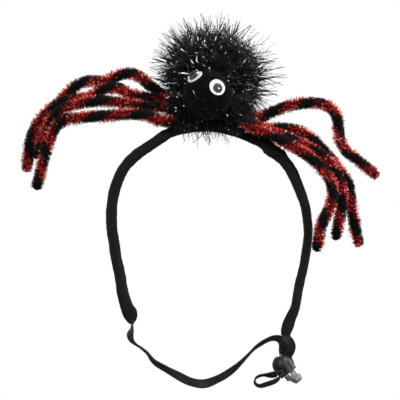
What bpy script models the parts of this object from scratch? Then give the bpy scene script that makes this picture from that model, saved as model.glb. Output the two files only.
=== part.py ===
"""A spider headband for a pet: padded headband, chin elastic with a cord lock, and a pompom spider.

Metres, +Z up. The origin is where the underside of the headband's crown sits on the head.
+X is the wearer's left as seen from the front, and the front faces -Y.
"""
import math
import random

import bmesh
import bpy
import numpy as np
from mathutils import Matrix, Vector

# Clearance between pieces that touch on the real thing
GAP = 0.0003

# Headband: a padded tube, bent to an arch, flattened where its ends are sewn shut
BAND_HALF_SPAN = 0.0738
BAND_HEIGHT = 0.1557
BAND_WIDTH = 0.0084
BAND_DEPTH = 0.0088
BAND_SECTIONS = 66
BAND_SIDES = 12

# Chin strap: one flat elastic
STRAP_WIDTH = 0.0068
STRAP_THICKNESS = 0.0011
STRAP_DROP = 0.0445
STRAP_GATHER = 0.75
STRAP_SECTIONS = 112
LOOP_LENGTH = 0.0215

# Cord lock: a ball-shaped barrel and a sprung plunger that pinches both runs of the strap
LOCK_RADIUS = 0.0077
LOCK_BELOW_END = 0.0225
LOCK_INSET = 0.0023
LOCK_RIM_RADIUS = 0.0070
LOCK_RIM_HEIGHT = 0.0078
LOCK_HOLE_HEIGHT = 0.0040
LOCK_HOLE_LENGTH = 0.0050
LOCK_LEAN_DEG = 38.0
LOCK_TILT_DEG = 8.0
LOCK_ROLL_DEG = 55.0
STEM_RADIUS = 0.0047
STEM_END = 0.0006
BUTTON_RADIUS = 0.0061
BUTTON_LENGTH = 0.0054
PRESS_TRAVEL = 0.004

# Spider: body and head pompoms
BODY_RADIUS = 0.032
BODY_LOCK_LENGTH = 0.0135
BODY_SIDE = 0.003
BODY_BACK = 0.012
HEAD_RADIUS = 0.0158
HEAD_LOCK_LENGTH = 0.0026
HEAD_SIDE = -0.0015
HEAD_FORWARD = 0.023
HEAD_HEIGHT = 0.0264
LOCK_TIP_SHARE = 0.22

# Wiggle eyes
EYE_RADIUS = 0.006
EYE_BACK_THICKNESS = 0.001
EYE_DOME_HEIGHT = 0.0029
EYE_DOME_WALL = 0.0005
PUPIL_RADIUS = 0.0037
PUPIL_THICKNESS = 0.0006
PUPIL_DROP = 0.0007

# Legs: eight chenille stems
LEG_DIAMETER = 0.0088
LEG_REACH = 0.136
LEG_HUB_HEIGHT = 0.016
LEG_BAND_LENGTH = 0.031
LEG_SWELL = 0.05
LEG_SECTIONS = 32

# What follows from the sizes above
CROWN_HEIGHT = BAND_WIDTH / 2
LEG_PITCH = LEG_DIAMETER * (1 + LEG_SWELL) + GAP
BODY_CLEAR_OF_CROWN = BODY_RADIUS + BAND_WIDTH / 2 + GAP
BODY_HEIGHT = CROWN_HEIGHT + math.sqrt(BODY_CLEAR_OF_CROWN ** 2 - BODY_BACK ** 2)
BODY_CENTRE = Vector((BODY_SIDE, BODY_BACK, BODY_HEIGHT))
HEAD_CENTRE = Vector((HEAD_SIDE, -HEAD_FORWARD, HEAD_HEIGHT))
HEAD_REACH = HEAD_RADIUS + HEAD_LOCK_LENGTH

# Headband route from the left end over the crown to the right end.
# across: share of BAND_HALF_SPAN, down: share of BAND_HEIGHT,
# width and depth: shares of BAND_WIDTH and BAND_DEPTH
BAND_ROUTE = [
    # across, down, width, depth
    (-0.780, 0.953, 0.22, 0.14),
    (-0.786, 0.940, 0.72, 0.22),
    (-0.792, 0.922, 1.10, 0.28),
    (-0.805, 0.899, 1.25, 0.36),
    (-0.832, 0.876, 1.18, 0.48),
    (-0.862, 0.828, 1.10, 0.76),
    (-0.905, 0.720, 1.02, 1.00),
    (-0.962, 0.575, 1.00, 1.00),
    (-0.992, 0.426, 1.00, 1.00),
    (-0.967, 0.322, 1.00, 1.00),
    (-0.915, 0.246, 1.00, 1.00),
    (-0.840, 0.184, 1.00, 1.00),
    (-0.737, 0.137, 1.00, 1.00),
    (-0.564, 0.080, 0.98, 1.00),
    (-0.400, 0.030, 0.96, 1.00),
    (-0.194, 0.005, 0.95, 1.00),
    (0.011, 0.000, 0.95, 1.00),
    (0.224, 0.017, 0.96, 1.00),
    (0.417, 0.050, 1.00, 1.00),
    (0.561, 0.083, 1.20, 1.04),
    (0.649, 0.125, 1.38, 1.08),
    (0.732, 0.158, 1.00, 1.00),
    (0.802, 0.198, 0.87, 0.95),
    (0.890, 0.280, 0.85, 0.95),
    (0.968, 0.372, 0.84, 0.95),
    (1.007, 0.500, 0.83, 0.95),
    (0.975, 0.640, 0.83, 0.95),
    (0.912, 0.775, 0.84, 0.90),
    (0.866, 0.884, 0.88, 0.72),
    (0.832, 0.921, 0.97, 0.46),
    (0.803, 0.958, 1.07, 0.34),
    (0.784, 0.986, 0.98, 0.30),
    (0.778, 1.003, 0.84, 0.28),
]

# Chin run from the left end to the back of the cord lock.
# across: share of the way between the band's ends, down: share of STRAP_DROP below the left end,
# back: multiples of STRAP_WIDTH, turn: degrees from face-on to the front, width: share
CHIN_RUN = [
    # across, down, back, turn, width
    (0.0005, 0.0080, 0.00, 84, 0.55),
    (-0.002, 0.080, 0.00, 70, 1.0),
    (-0.014, 0.180, 0.00, 44, 1.0),
    (-0.005, 0.265, 0.00, 54, 1.0),
    (0.018, 0.330, 0.00, 66, 1.0),
    (0.055, 0.391, 0.00, 71, 1.0),
    (0.093, 0.470, 0.00, 68, 1.0),
    (0.130, 0.596, 0.00, 57, 1.0),
    (0.193, 0.712, 0.00, 44, 1.0),
    (0.285, 0.845, 0.00, 22, 1.0),
    (0.385, 0.970, 0.00, 12, 1.0),
    (0.463, 1.000, 0.00, 2, 1.0),
    (0.561, 0.915, 0.00, 24, 1.0),
    (0.642, 0.790, 0.00, 38, 1.0),
    (0.706, 0.645, 0.04, 60, 1.0),
    (0.761, 0.501, 0.15, 71, 1.0),
    (0.816, 0.375, 0.33, 70, 1.0),
    (0.881, 0.268, 0.57, 68, 1.0),
    (0.940, 0.226, 0.72, 76, 1.0),
    (0.970, 0.245, 0.76, 106, 1.0),
    (0.985, 0.310, 0.80, 140, 1.0),
    (0.989, 0.390, 0.95, 165, 1.0),
    (0.989, 0.465, 1.18, 176, 1.0),
    (0.993, 0.535, 1.36, 180, 0.9),
]

# Both runs behind the cord lock, in the lock's own frame, outside in.
# behind, aside, on: shares of LOCK_RADIUS, settled: share of the turn into the hole, width: share
FIRST_ENTRY = [
    # behind, aside, on, settled, width
    (1.500, -0.100, -0.150, 0.35, 0.82),
    (1.400, -0.030, 0.300, 0.80, 0.77),
]
SECOND_ENTRY = [
    (1.280, 0.300, -0.330, 0.45, 0.82),
    (1.220, 0.080, 0.120, 0.85, 0.77),
]

# Slack loop in front of the lock, from the first pass to the second.
# left, down and front: shares of LOOP_LENGTH from the lock's centre, turn: degrees, width: share,
# settled: share of the turn into the hole
SLACK_LOOP = [
    # left, down, front, turn, width, settled
    (0.110, 0.375, 0.395, 122, 0.80, 0.75),
    (0.214, 0.474, 0.385, 124, 0.90, 0.35),
    (0.375, 0.563, 0.350, 126, 0.97, 0.0),
    (0.600, 0.650, 0.300, 126, 1.0, 0.0),
    (0.786, 0.700, 0.275, 118, 1.0, 0.0),
    (0.916, 0.662, 0.265, 108, 1.0, 0.0),
    (0.972, 0.586, 0.265, 100, 1.0, 0.0),
    (0.972, 0.493, 0.270, 84, 1.0, 0.0),
    (0.912, 0.405, 0.285, 76, 1.0, 0.0),
    (0.805, 0.342, 0.300, 73, 1.0, 0.0),
    (0.656, 0.318, 0.326, 71, 1.0, 0.0),
    (0.484, 0.318, 0.352, 66, 1.0, 0.0),
    (0.345, 0.298, 0.372, 60, 0.92, 0.3),
    (0.225, 0.262, 0.390, 60, 0.82, 0.7),
]

# Return run from the back of the lock up to the right end.
# across and down: shares of LOCK_BELOW_END from the right end, back: multiples of STRAP_WIDTH
RETURN_RUN = [
    # across, down, back, turn, width
    (0.164, 0.620, 0.72, 10, 0.95),
    (0.197, 0.400, 0.36, 4, 1.0),
    (0.135, 0.230, 0.08, 2, 1.0),
    (0.030, 0.100, 0.00, 0, 1.0),
    (0.020, 0.016, 0.00, 0, 1.0),
]

# Leg bends, from the hub under the body to the tip.
# out and up: shares of LEG_REACH from the hub, back: multiples of LEG_PITCH
LEG_BENDS = {
    "left_leg_1": [
        (0.080, 0.050, 1.45), (0.220, 0.070, 1.45), (0.300, 0.110, 1.45), (0.360, 0.155, 1.45),
        (0.405, 0.195, 1.50), (0.455, 0.216, 1.50), (0.515, 0.209, 1.55), (0.600, 0.172, 1.60),
        (0.700, 0.173, 1.70), (0.772, 0.144, 1.80), (0.838, 0.080, 1.90), (0.902, 0.010, 2.00),
        (0.950, -0.085, 2.10), (0.990, -0.250, 2.20),
    ],
    "left_leg_2": [
        (0.080, 0.040, 0.45), (0.200, 0.060, 0.45), (0.310, 0.080, 0.45), (0.390, 0.083, 0.45),
        (0.460, 0.095, 0.45), (0.540, 0.132, 0.50), (0.600, 0.125, 0.50), (0.680, 0.082, 0.60),
        (0.785, 0.065, 0.60), (0.880, 0.026, 0.70), (0.953, -0.036, 0.80), (1.004, -0.130, 0.90),
        (1.036, -0.325, 1.00),
    ],
    "left_leg_3": [
        (0.080, 0.020, -0.55), (0.200, 0.025, -0.55), (0.320, 0.036, -0.55), (0.510, 0.050, -0.55),
        (0.600, 0.053, -0.55), (0.700, 0.045, -0.60), (0.780, 0.025, -0.60), (0.855, -0.015, -0.60),
        (0.905, -0.080, -0.60), (0.950, -0.230, -0.60),
    ],
    "left_leg_4": [
        (0.080, 0.020, -1.52), (0.135, 0.014, -1.50), (0.195, -0.056, -1.55), (0.275, -0.066, -1.60),
        (0.365, -0.034, -1.65),
        (0.440, -0.024, -1.70), (0.565, -0.032, -1.75), (0.730, -0.045, -1.80), (0.812, -0.060, -1.85),
        (0.857, -0.098, -1.90), (0.886, -0.155, -1.95), (0.913, -0.245, -2.05), (0.956, -0.425, -2.20),
    ],
    "right_leg_1": [
        (0.080, 0.040, 1.45), (0.175, -0.015, 1.45), (0.250, -0.035, 1.50), (0.320, -0.005, 1.60),
        (0.410, 0.030, 1.75), (0.500, 0.050, 1.90), (0.592, 0.050, 2.00), (0.658, 0.028, 2.10),
        (0.697, -0.024, 2.15), (0.706, -0.092, 2.20), (0.714, -0.155, 2.25), (0.744, -0.207, 2.30),
        (0.822, -0.274, 2.35), (0.922, -0.354, 2.40),
    ],
    "right_leg_2": [
        (0.080, 0.020, 0.45), (0.175, -0.045, 0.45), (0.270, -0.093, 0.45), (0.375, -0.095, 0.45),
        (0.470, -0.107, 0.45), (0.535, -0.143, 0.45), (0.615, -0.220, 0.50), (0.695, -0.320, 0.55),
        (0.745, -0.395, 0.60), (0.763, -0.490, 0.65), (0.780, -0.600, 0.70), (0.810, -0.740, 0.80),
    ],
    "right_leg_3": [
        (0.080, 0.012, -0.62), (0.185, -0.070, -0.80), (0.285, -0.110, -0.80), (0.375, -0.138, -0.70),
        (0.465, -0.175, -0.62), (0.560, -0.222, -0.60), (0.640, -0.290, -0.60), (0.690, -0.370, -0.60),
        (0.712, -0.450, -0.60), (0.713, -0.540, -0.60), (0.702, -0.615, -0.60), (0.685, -0.700, -0.65),
    ],
    "right_leg_4": [
        (0.070, 0.035, -1.62), (0.155, -0.060, -1.85), (0.260, -0.118, -1.85), (0.345, -0.155, -1.80),
        (0.435, -0.202, -1.75), (0.530, -0.262, -1.75), (0.600, -0.330, -1.75), (0.648, -0.405, -1.80),
        (0.656, -0.470, -1.85), (0.643, -0.530, -1.90), (0.608, -0.620, -1.95), (0.576, -0.760, -2.00),
    ],
}

# Which way each eye looks
EYE_FACING = {
    "left_eye": Vector((-0.536, -0.370, 0.757)).normalized(),
    "right_eye": Vector((0.430, -0.860, 0.270)).normalized(),
}


def clear_scene():
    for item in list(bpy.data.objects):
        bpy.data.objects.remove(item, do_unlink=True)


def collection(name):
    group = bpy.data.collections.new(name)
    bpy.context.scene.collection.children.link(group)
    return group


def material(name, color, roughness, metallic=0.0, alpha=1.0):
    made = bpy.data.materials.new(name)
    made.use_nodes = True
    shader = made.node_tree.nodes["Principled BSDF"]
    shader.inputs["Base Color"].default_value = (*color, 1.0)
    shader.inputs["Roughness"].default_value = roughness
    shader.inputs["Metallic"].default_value = metallic
    shader.inputs["Alpha"].default_value = alpha
    return made


def add_object(name, mesh, finish, group):
    piece = bpy.data.objects.new(name, mesh)
    mesh.materials.clear()
    mesh.materials.append(finish)
    group.objects.link(piece)
    return piece


def mesh_from(name, shape):
    bmesh.ops.recalc_face_normals(shape, faces=shape.faces)
    mesh = bpy.data.meshes.new(name)
    shape.to_mesh(mesh)
    shape.free()
    return mesh


def smooth_route(rows, count):
    """Rows that start with a place are read at even steps along one smooth curve through them."""
    rows = np.array(rows, dtype=float)
    steps = np.linalg.norm(np.diff(rows[:, :3], axis=0), axis=1)
    slopes = np.diff(rows, axis=0) / steps[:, None]
    tangents = np.empty_like(rows)
    tangents[0] = slopes[0]
    tangents[-1] = slopes[-1]
    before, after = steps[:-1, None], steps[1:, None]
    tangents[1:-1] = (slopes[:-1] * after + slopes[1:] * before) / (before + after)
    fine = []
    per_span = 24
    for index, step in enumerate(steps):
        for part in range(per_span):
            t = part / per_span
            fine.append(
                (2 * t ** 3 - 3 * t ** 2 + 1) * rows[index]
                + (t ** 3 - 2 * t ** 2 + t) * step * tangents[index]
                + (3 * t ** 2 - 2 * t ** 3) * rows[index + 1]
                + (t ** 3 - t ** 2) * step * tangents[index + 1]
            )
    fine.append(rows[-1])
    fine = np.array(fine)
    length = np.concatenate([[0], np.cumsum(np.linalg.norm(np.diff(fine[:, :3], axis=0), axis=1))])
    wanted = np.linspace(0, length[-1], count)
    columns = [np.interp(wanted, length, fine[:, column]) for column in range(fine.shape[1])]
    return np.stack(columns, axis=1)


def tangents_of(places):
    ahead = np.gradient(places, axis=0)
    return ahead / np.linalg.norm(ahead, axis=1)[:, None]


def level_ends(ahead):
    """The headband and the strap are cut level where they are sewn together."""
    for end in (0, -1):
        ahead[end] = (0, 0, math.copysign(1, ahead[end][2]))
    return ahead


def loft(name, rings):
    """A closed skin over rings of equally many points, with a flat cap on each end."""
    shape = bmesh.new()
    loops = [[shape.verts.new(point) for point in ring] for ring in rings]
    sides = len(rings[0])
    for first, second in zip(loops, loops[1:]):
        for index in range(sides):
            following = (index + 1) % sides
            shape.faces.new((first[index], first[following], second[following], second[index]))
    shape.faces.new(loops[0])
    shape.faces.new(loops[-1])
    return mesh_from(name, shape)


def turned(name, profile, finish, group, steps):
    """A profile of (radius, height) pairs turned about the local Z axis."""
    mesh = bpy.data.meshes.new(name)
    shape = bmesh.new()
    points = [shape.verts.new((radius, 0, height)) for radius, height in profile]
    for first, second in zip(points, points[1:]):
        shape.edges.new((first, second))
    shape.to_mesh(mesh)
    shape.free()
    piece = add_object(name, mesh, finish, group)
    screw = piece.modifiers.new("turn", "SCREW")
    screw.steps = steps
    screw.render_steps = steps
    screw.use_merge_vertices = True
    screw.merge_threshold = 0.00001
    return piece


def arc(radius, start_deg, end_deg, count, squash=1.0, lift=0.0):
    """Points of a round stretch of a profile, by the angle above the horizontal."""
    angles = np.radians(np.linspace(start_deg, end_deg, count))
    return [(radius * math.cos(angle), lift + radius * squash * math.sin(angle)) for angle in angles]


def cutter_box(name, size, centre, group):
    shape = bmesh.new()
    bmesh.ops.create_cube(shape, size=1.0)
    bmesh.ops.scale(shape, vec=size, verts=shape.verts)
    bmesh.ops.translate(shape, vec=centre, verts=shape.verts)
    piece = bpy.data.objects.new(name, mesh_from(name, shape))
    piece.hide_render = True
    piece.display_type = "WIRE"
    group.objects.link(piece)
    return piece


def cutter_tube(name, half_width, half_height, length, height, group):
    """An oval tube along the local X axis, at a height on the local Z axis."""
    rings = []
    for along in (-length / 2, length / 2):
        angles = [math.tau * index / 20 for index in range(20)]
        rings.append([
            Vector((along, half_width * math.cos(angle), height + half_height * math.sin(angle)))
            for angle in angles
        ])
    piece = bpy.data.objects.new(name, loft(name, rings))
    piece.hide_render = True
    piece.display_type = "WIRE"
    group.objects.link(piece)
    return piece


def cutter_ball(name, radius, centre, group, fineness):
    shape = bmesh.new()
    bmesh.ops.create_icosphere(shape, subdivisions=fineness, radius=radius)
    bmesh.ops.translate(shape, vec=centre, verts=shape.verts)
    piece = bpy.data.objects.new(name, mesh_from(name, shape))
    piece.hide_render = True
    piece.display_type = "WIRE"
    group.objects.link(piece)
    return piece


def cut(piece, cutter):
    modifier = piece.modifiers.new(cutter.name, "BOOLEAN")
    modifier.operation = "DIFFERENCE"
    modifier.object = cutter


def place(piece, frame):
    piece.location = frame.to_translation()
    piece.rotation_euler = frame.to_euler()


def axes_frame(origin, x_axis, z_axis):
    """A frame with its Z along z_axis and its X as near x_axis as that allows."""
    z_axis = z_axis.normalized()
    y_axis = z_axis.cross(x_axis).normalized()
    x_axis = y_axis.cross(z_axis)
    frame = Matrix((x_axis, y_axis, z_axis)).transposed().to_4x4()
    frame.translation = origin
    return frame


def band_stations():
    rows = [
        (across * BAND_HALF_SPAN, 0.0, CROWN_HEIGHT - down * BAND_HEIGHT, width, depth)
        for across, down, width, depth in BAND_ROUTE
    ]
    return smooth_route(rows, BAND_SECTIONS)


def make_headband(finish, group):
    stations = band_stations()
    ahead = level_ends(tangents_of(stations[:, :3]))
    rings = []
    for station, along in zip(stations, ahead):
        centre = Vector(station[:3])
        across = Vector((0, 1, 0)).cross(Vector(along)).normalized()
        half_width = station[3] * BAND_WIDTH / 2
        half_depth = station[4] * BAND_DEPTH / 2
        ring = []
        for index in range(BAND_SIDES):
            angle = math.tau * index / BAND_SIDES
            ring.append(
                centre
                + across * half_width * math.cos(angle)
                + Vector((0, 1, 0)) * half_depth * math.sin(angle)
            )
        rings.append(ring)
    return add_object("headband", loft("headband", rings), finish, group)


def band_ends():
    """The lowest points of the headband's two ends."""
    first, last = BAND_ROUTE[0], BAND_ROUTE[-1]
    return [
        Vector((row[0] * BAND_HALF_SPAN, 0, CROWN_HEIGHT - row[1] * BAND_HEIGHT))
        for row in (first, last)
    ]


def lock_frame():
    """The cord lock's frame: Z is the press axis towards the button, X the way the strap came from."""
    right_end = band_ends()[1]
    centre = right_end + Vector((-LOCK_INSET, 0, -LOCK_BELOW_END))
    lean = math.radians(LOCK_LEAN_DEG)
    tilt = math.radians(LOCK_TILT_DEG)
    roll = math.radians(LOCK_ROLL_DEG)
    press = Vector((math.sin(lean) * math.cos(tilt), -math.sin(tilt), -math.cos(lean) * math.cos(tilt)))
    sideways = Vector((0, 1, 0)).cross(press).normalized() * -1
    rearward = press.cross(sideways).normalized()
    if rearward.y < 0:
        rearward = -rearward
    entry = sideways * math.cos(roll) + rearward * math.sin(roll)
    return axes_frame(centre, entry, press)


def turned_width(along, turn_deg):
    """The strap's width direction: in the front view at 0 degrees, away from the viewer at 90."""
    flat = Vector((0, 1, 0)).cross(along).normalized()
    deep = along.cross(flat).normalized()
    turn = math.radians(turn_deg)
    return flat * math.cos(turn) + deep * math.sin(turn)


def pass_heights():
    """The heights of the strap's two passes through the lock, side by side along the press axis."""
    half_stack = STRAP_THICKNESS / 2 + GAP
    return LOCK_HOLE_HEIGHT + half_stack, LOCK_HOLE_HEIGHT - half_stack


def strap_rows():
    """The strap's places, turns, widths and how far it has turned into the lock's hole, as rows."""
    left_end, right_end = band_ends()
    frame = lock_frame()
    centre = frame.to_translation()
    first_height, second_height = pass_heights()
    reach = LOCK_RADIUS * 1.1
    rows = []
    for across, down, back, turn, width in CHIN_RUN:
        place_x = left_end.x + across * (right_end.x - left_end.x)
        place_z = left_end.z - down * STRAP_DROP
        rows.append((place_x, back * STRAP_WIDTH, place_z, turn, width, 0))
    for behind, aside, on, settled, width in FIRST_ENTRY:
        point = frame @ (Vector((behind, aside, on)) * LOCK_RADIUS)
        rows.append((*point, 0, width, settled))
    for share in (1.0, 0.5, 0.0, -0.5, -1.0):
        point = frame @ Vector((share * reach, 0, first_height))
        rows.append((*point, 0, STRAP_GATHER, 1))
    for left, down, front, turn, width, settled in SLACK_LOOP:
        point = centre + Vector((-left, -front, -down)) * LOOP_LENGTH
        rows.append((*point, turn, width, settled))
    for share in (-1.0, -0.5, 0.0, 0.5, 1.0):
        point = frame @ Vector((share * reach, 0, second_height))
        rows.append((*point, 0, STRAP_GATHER, 1))
    for behind, aside, on, settled, width in reversed(SECOND_ENTRY):
        point = frame @ (Vector((behind, aside, on)) * LOCK_RADIUS)
        rows.append((*point, 0, width, settled))
    for across, down, back, turn, width in RETURN_RUN:
        point = right_end + Vector((across, 0, -down)) * LOCK_BELOW_END
        rows.append((point.x, back * STRAP_WIDTH, point.z, turn, width, 0))
    return rows


def strap_stations():
    """Evenly spaced stations along the strap, each with its place, width direction and width."""
    rows = strap_rows()
    hole_width = lock_frame().to_3x3() @ Vector((0, 1, 0))
    ahead = tangents_of(np.array([row[:3] for row in rows]))
    full = []
    before = None
    for row, along in zip(rows, ahead):
        settled = row[5]
        direction = turned_width(Vector(along), row[3])
        if 0 < settled:
            direction = Vector((1, 0, 0)) if row[3] == 0 else direction
            if direction.dot(hole_width) < 0:
                direction = -direction
            direction = direction * (1 - settled) + hole_width * settled
            direction.normalize()
        if before is not None and direction.dot(before) < 0:
            direction = -direction
        before = direction
        full.append((*row[:3], *direction, row[4]))
    return smooth_route(full, STRAP_SECTIONS)


def make_strap(finish, group):
    stations = strap_stations()
    ahead = level_ends(tangents_of(stations[:, :3]))
    rings = []
    for station, along in zip(stations, ahead):
        centre, along = Vector(station[:3]), Vector(along)
        width = Vector(station[3:6])
        width = (width - along * width.dot(along)).normalized() * station[6] * STRAP_WIDTH / 2
        thick = along.cross(width).normalized() * STRAP_THICKNESS / 2
        rings.append([centre + width + thick, centre + width - thick,
                      centre - width - thick, centre - width + thick])
    return add_object("chin_strap", loft("chin_strap", rings), finish, group)


def make_lock(barrel_finish, plunger_finish, group, cutters):
    frame = lock_frame()
    bore = STEM_RADIUS + GAP
    floor = -(STEM_END + PRESS_TRAVEL + GAP)
    barrel_profile = [(0, floor), (bore, floor), (bore, LOCK_RIM_HEIGHT), (LOCK_RIM_RADIUS, LOCK_RIM_HEIGHT)]
    shoulder = 15.0
    shoulder_height = LOCK_RADIUS * math.sin(math.radians(shoulder))
    shoulder_radius = LOCK_RADIUS * math.cos(math.radians(shoulder))
    for share in (0.6, 0.25):
        barrel_profile.append((
            shoulder_radius + (LOCK_RIM_RADIUS - shoulder_radius) * share ** 1.5,
            shoulder_height + (LOCK_RIM_HEIGHT - shoulder_height) * share,
        ))
    barrel_profile += arc(LOCK_RADIUS, shoulder, -90, 8)
    barrel_profile[-1] = (0, -LOCK_RADIUS)
    barrel = turned("lock_barrel", barrel_profile, barrel_finish, group, 20)
    gathered = STRAP_WIDTH * STRAP_GATHER
    length = 3 * LOCK_RADIUS
    hole = cutter_tube(
        "barrel_hole", gathered / 2 + 4 * GAP, LOCK_HOLE_LENGTH / 2, length, LOCK_HOLE_HEIGHT, cutters
    )
    place(hole, frame)
    place(barrel, frame)
    cut(barrel, hole)

    button_start = LOCK_RIM_HEIGHT + PRESS_TRAVEL + GAP
    button_end = button_start + BUTTON_LENGTH
    round_edge = BUTTON_RADIUS * 0.3
    plunger_profile = [
        (0, button_end),
        (BUTTON_RADIUS - round_edge, button_end),
        (BUTTON_RADIUS - round_edge * 0.3, button_end - round_edge * 0.3),
        (BUTTON_RADIUS, button_end - round_edge),
        (BUTTON_RADIUS, button_start + round_edge * 0.6),
        (BUTTON_RADIUS - round_edge * 0.4, button_start),
        (STEM_RADIUS, button_start),
        (STEM_RADIUS, -STEM_END),
        (0, -STEM_END),
    ]
    plunger = turned("lock_plunger", plunger_profile, plunger_finish, group, 20)
    half_stack = STRAP_THICKNESS + 2 * GAP
    window_low = LOCK_HOLE_HEIGHT - half_stack - GAP
    window_high = LOCK_HOLE_HEIGHT + half_stack + GAP + PRESS_TRAVEL
    window = cutter_box(
        "plunger_window",
        (length, gathered + 4 * GAP, window_high - window_low),
        (0, 0, (window_high + window_low) / 2),
        cutters,
    )
    place(window, frame)
    slope = Matrix.Rotation(math.radians(LOCK_ROLL_DEG), 4, "Z") @ Matrix.Translation((-BUTTON_RADIUS, 0, button_start))
    slope = slope @ Matrix.Rotation(math.radians(40), 4, "Y")
    thumb_face = cutter_box("thumb_face", (length, length, length), (-length / 2, 0, length / 2 - 0.002), cutters)
    place(thumb_face, frame @ slope)
    place(plunger, frame)
    cut(plunger, window)
    cut(plunger, thumb_face)
    return barrel, plunger


def leg_stations():
    """Each leg's evenly spaced places and thickness shares, by its name."""
    hub = Vector((BODY_SIDE, 0, LEG_HUB_HEIGHT))
    stations = {}
    for name, bends in LEG_BENDS.items():
        outward = -1 if name.startswith("left") else 1
        rows = [
            (hub.x + outward * out * LEG_REACH, back * LEG_PITCH, hub.z + up * LEG_REACH)
            for out, up, back in bends
        ]
        places = smooth_route(rows, LEG_SECTIONS)
        travelled = np.concatenate([[0], np.cumsum(np.linalg.norm(np.diff(places, axis=0), axis=1))])
        swell = 1 + LEG_SWELL * np.cos(math.tau * travelled / LEG_BAND_LENGTH)
        stations[name] = (places, swell)
    return stations


def make_leg(name, places, swell, finish, group, trims):
    """A stem of chenille, cut back where it meets the pompoms."""
    curve = bpy.data.curves.new(name, "CURVE")
    curve.dimensions = "3D"
    curve.bevel_depth = LEG_DIAMETER / 2
    curve.bevel_resolution = 2
    curve.use_fill_caps = True
    spline = curve.splines.new("POLY")
    spline.points.add(len(places) - 1)
    for point, spot, share in zip(spline.points, places, swell):
        point.co = (*spot, 1)
        point.radius = share
    guide = bpy.data.objects.new(name + "_guide", curve)
    group.objects.link(guide)
    bpy.context.view_layer.update()
    evaluated = guide.evaluated_get(bpy.context.evaluated_depsgraph_get())
    mesh = bpy.data.meshes.new_from_object(evaluated)
    shape = bmesh.new()
    shape.from_mesh(mesh)
    bmesh.ops.remove_doubles(shape, verts=shape.verts, dist=0.00001)
    bmesh.ops.recalc_face_normals(shape, faces=shape.faces)
    shape.to_mesh(mesh)
    shape.free()
    mesh.name = name
    leg = add_object(name, mesh, finish, group)
    leg.matrix_world = guide.matrix_world
    bpy.data.objects.remove(guide, do_unlink=True)
    for trim in trims:
        cut(leg, trim)
    return leg


def clear_share(base, tip, base_radius, obstacles):
    """How much of a lock's length stays clear of the pieces near it, from 0 to 1."""
    steps = 10
    for step in range(steps + 1):
        share = step / steps
        point = base + (tip - base) * share
        radius = base_radius * (1 - share * (1 - LOCK_TIP_SHARE))
        for centre, reach in obstacles:
            if (point - centre).length < reach + radius + GAP:
                return max(0.0, (step - 1) / steps)
    return 1.0


def make_pompom(name, centre, radius, lock_length, fineness, obstacles, seed, finish, group):
    """A ball with a tapered lock drawn out of each face, shorter where another piece is near."""
    draw = random.Random(seed)
    shape = bmesh.new()
    bmesh.ops.create_icosphere(shape, subdivisions=fineness, radius=radius)
    bmesh.ops.translate(shape, vec=centre, verts=shape.verts)
    for face in list(shape.faces):
        base = face.calc_center_median()
        outward = (base - centre).normalized()
        droop = Vector((0, 0, -0.12)) * lock_length
        length = lock_length * draw.uniform(0.55, 1.0)
        tip = base + outward * length + droop
        base_radius = max((corner.co - base).length for corner in face.verts)
        share = clear_share(base, tip, base_radius, obstacles)
        if share < 0.25:
            continue
        drawn = bmesh.ops.extrude_discrete_faces(shape, faces=[face])["faces"][0]
        narrowed = 1 - share * (1 - LOCK_TIP_SHARE)
        for corner in drawn.verts:
            corner.co = base + (tip - base) * share + (corner.co - base) * narrowed
    return add_object(name, mesh_from(name, shape), finish, group)


def make_spider(body_finish, head_finish, leg_finish, group, cutters):
    legs = leg_stations()
    leg_reach = LEG_DIAMETER / 2 * (1 + LEG_SWELL)
    near_body = [(HEAD_CENTRE, HEAD_REACH)]
    for places, _ in legs.values():
        near_body += [(Vector(spot), leg_reach) for spot in places]
    near_head = list(near_body[1:])
    for station in band_stations():
        band_reach = max(station[3] * BAND_WIDTH, station[4] * BAND_DEPTH) / 2
        near_body.append((Vector(station[:3]), band_reach))
        near_head.append((Vector(station[:3]), band_reach))
    for facing in EYE_FACING.values():
        for height in (0.0, 0.5, 1.0):
            spot = HEAD_CENTRE + facing * (HEAD_RADIUS + GAP + EYE_RADIUS * height)
            near_head.append((spot, EYE_RADIUS))
    body = make_pompom(
        "spider_body", BODY_CENTRE, BODY_RADIUS, BODY_LOCK_LENGTH, 3, near_body, 5, body_finish, group
    )
    make_pompom(
        "spider_head", HEAD_CENTRE, HEAD_RADIUS, HEAD_LOCK_LENGTH, 3, near_head, 9, head_finish, group
    )
    head_hollow = cutter_ball("head_hollow", HEAD_REACH + GAP, HEAD_CENTRE, cutters, 3)
    body_hollow = cutter_ball("body_hollow", BODY_RADIUS + GAP, BODY_CENTRE, cutters, 3)
    cut(body, head_hollow)
    for name, (places, swell) in legs.items():
        make_leg(name, places, swell, leg_finish, group, (body_hollow, head_hollow))


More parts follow.
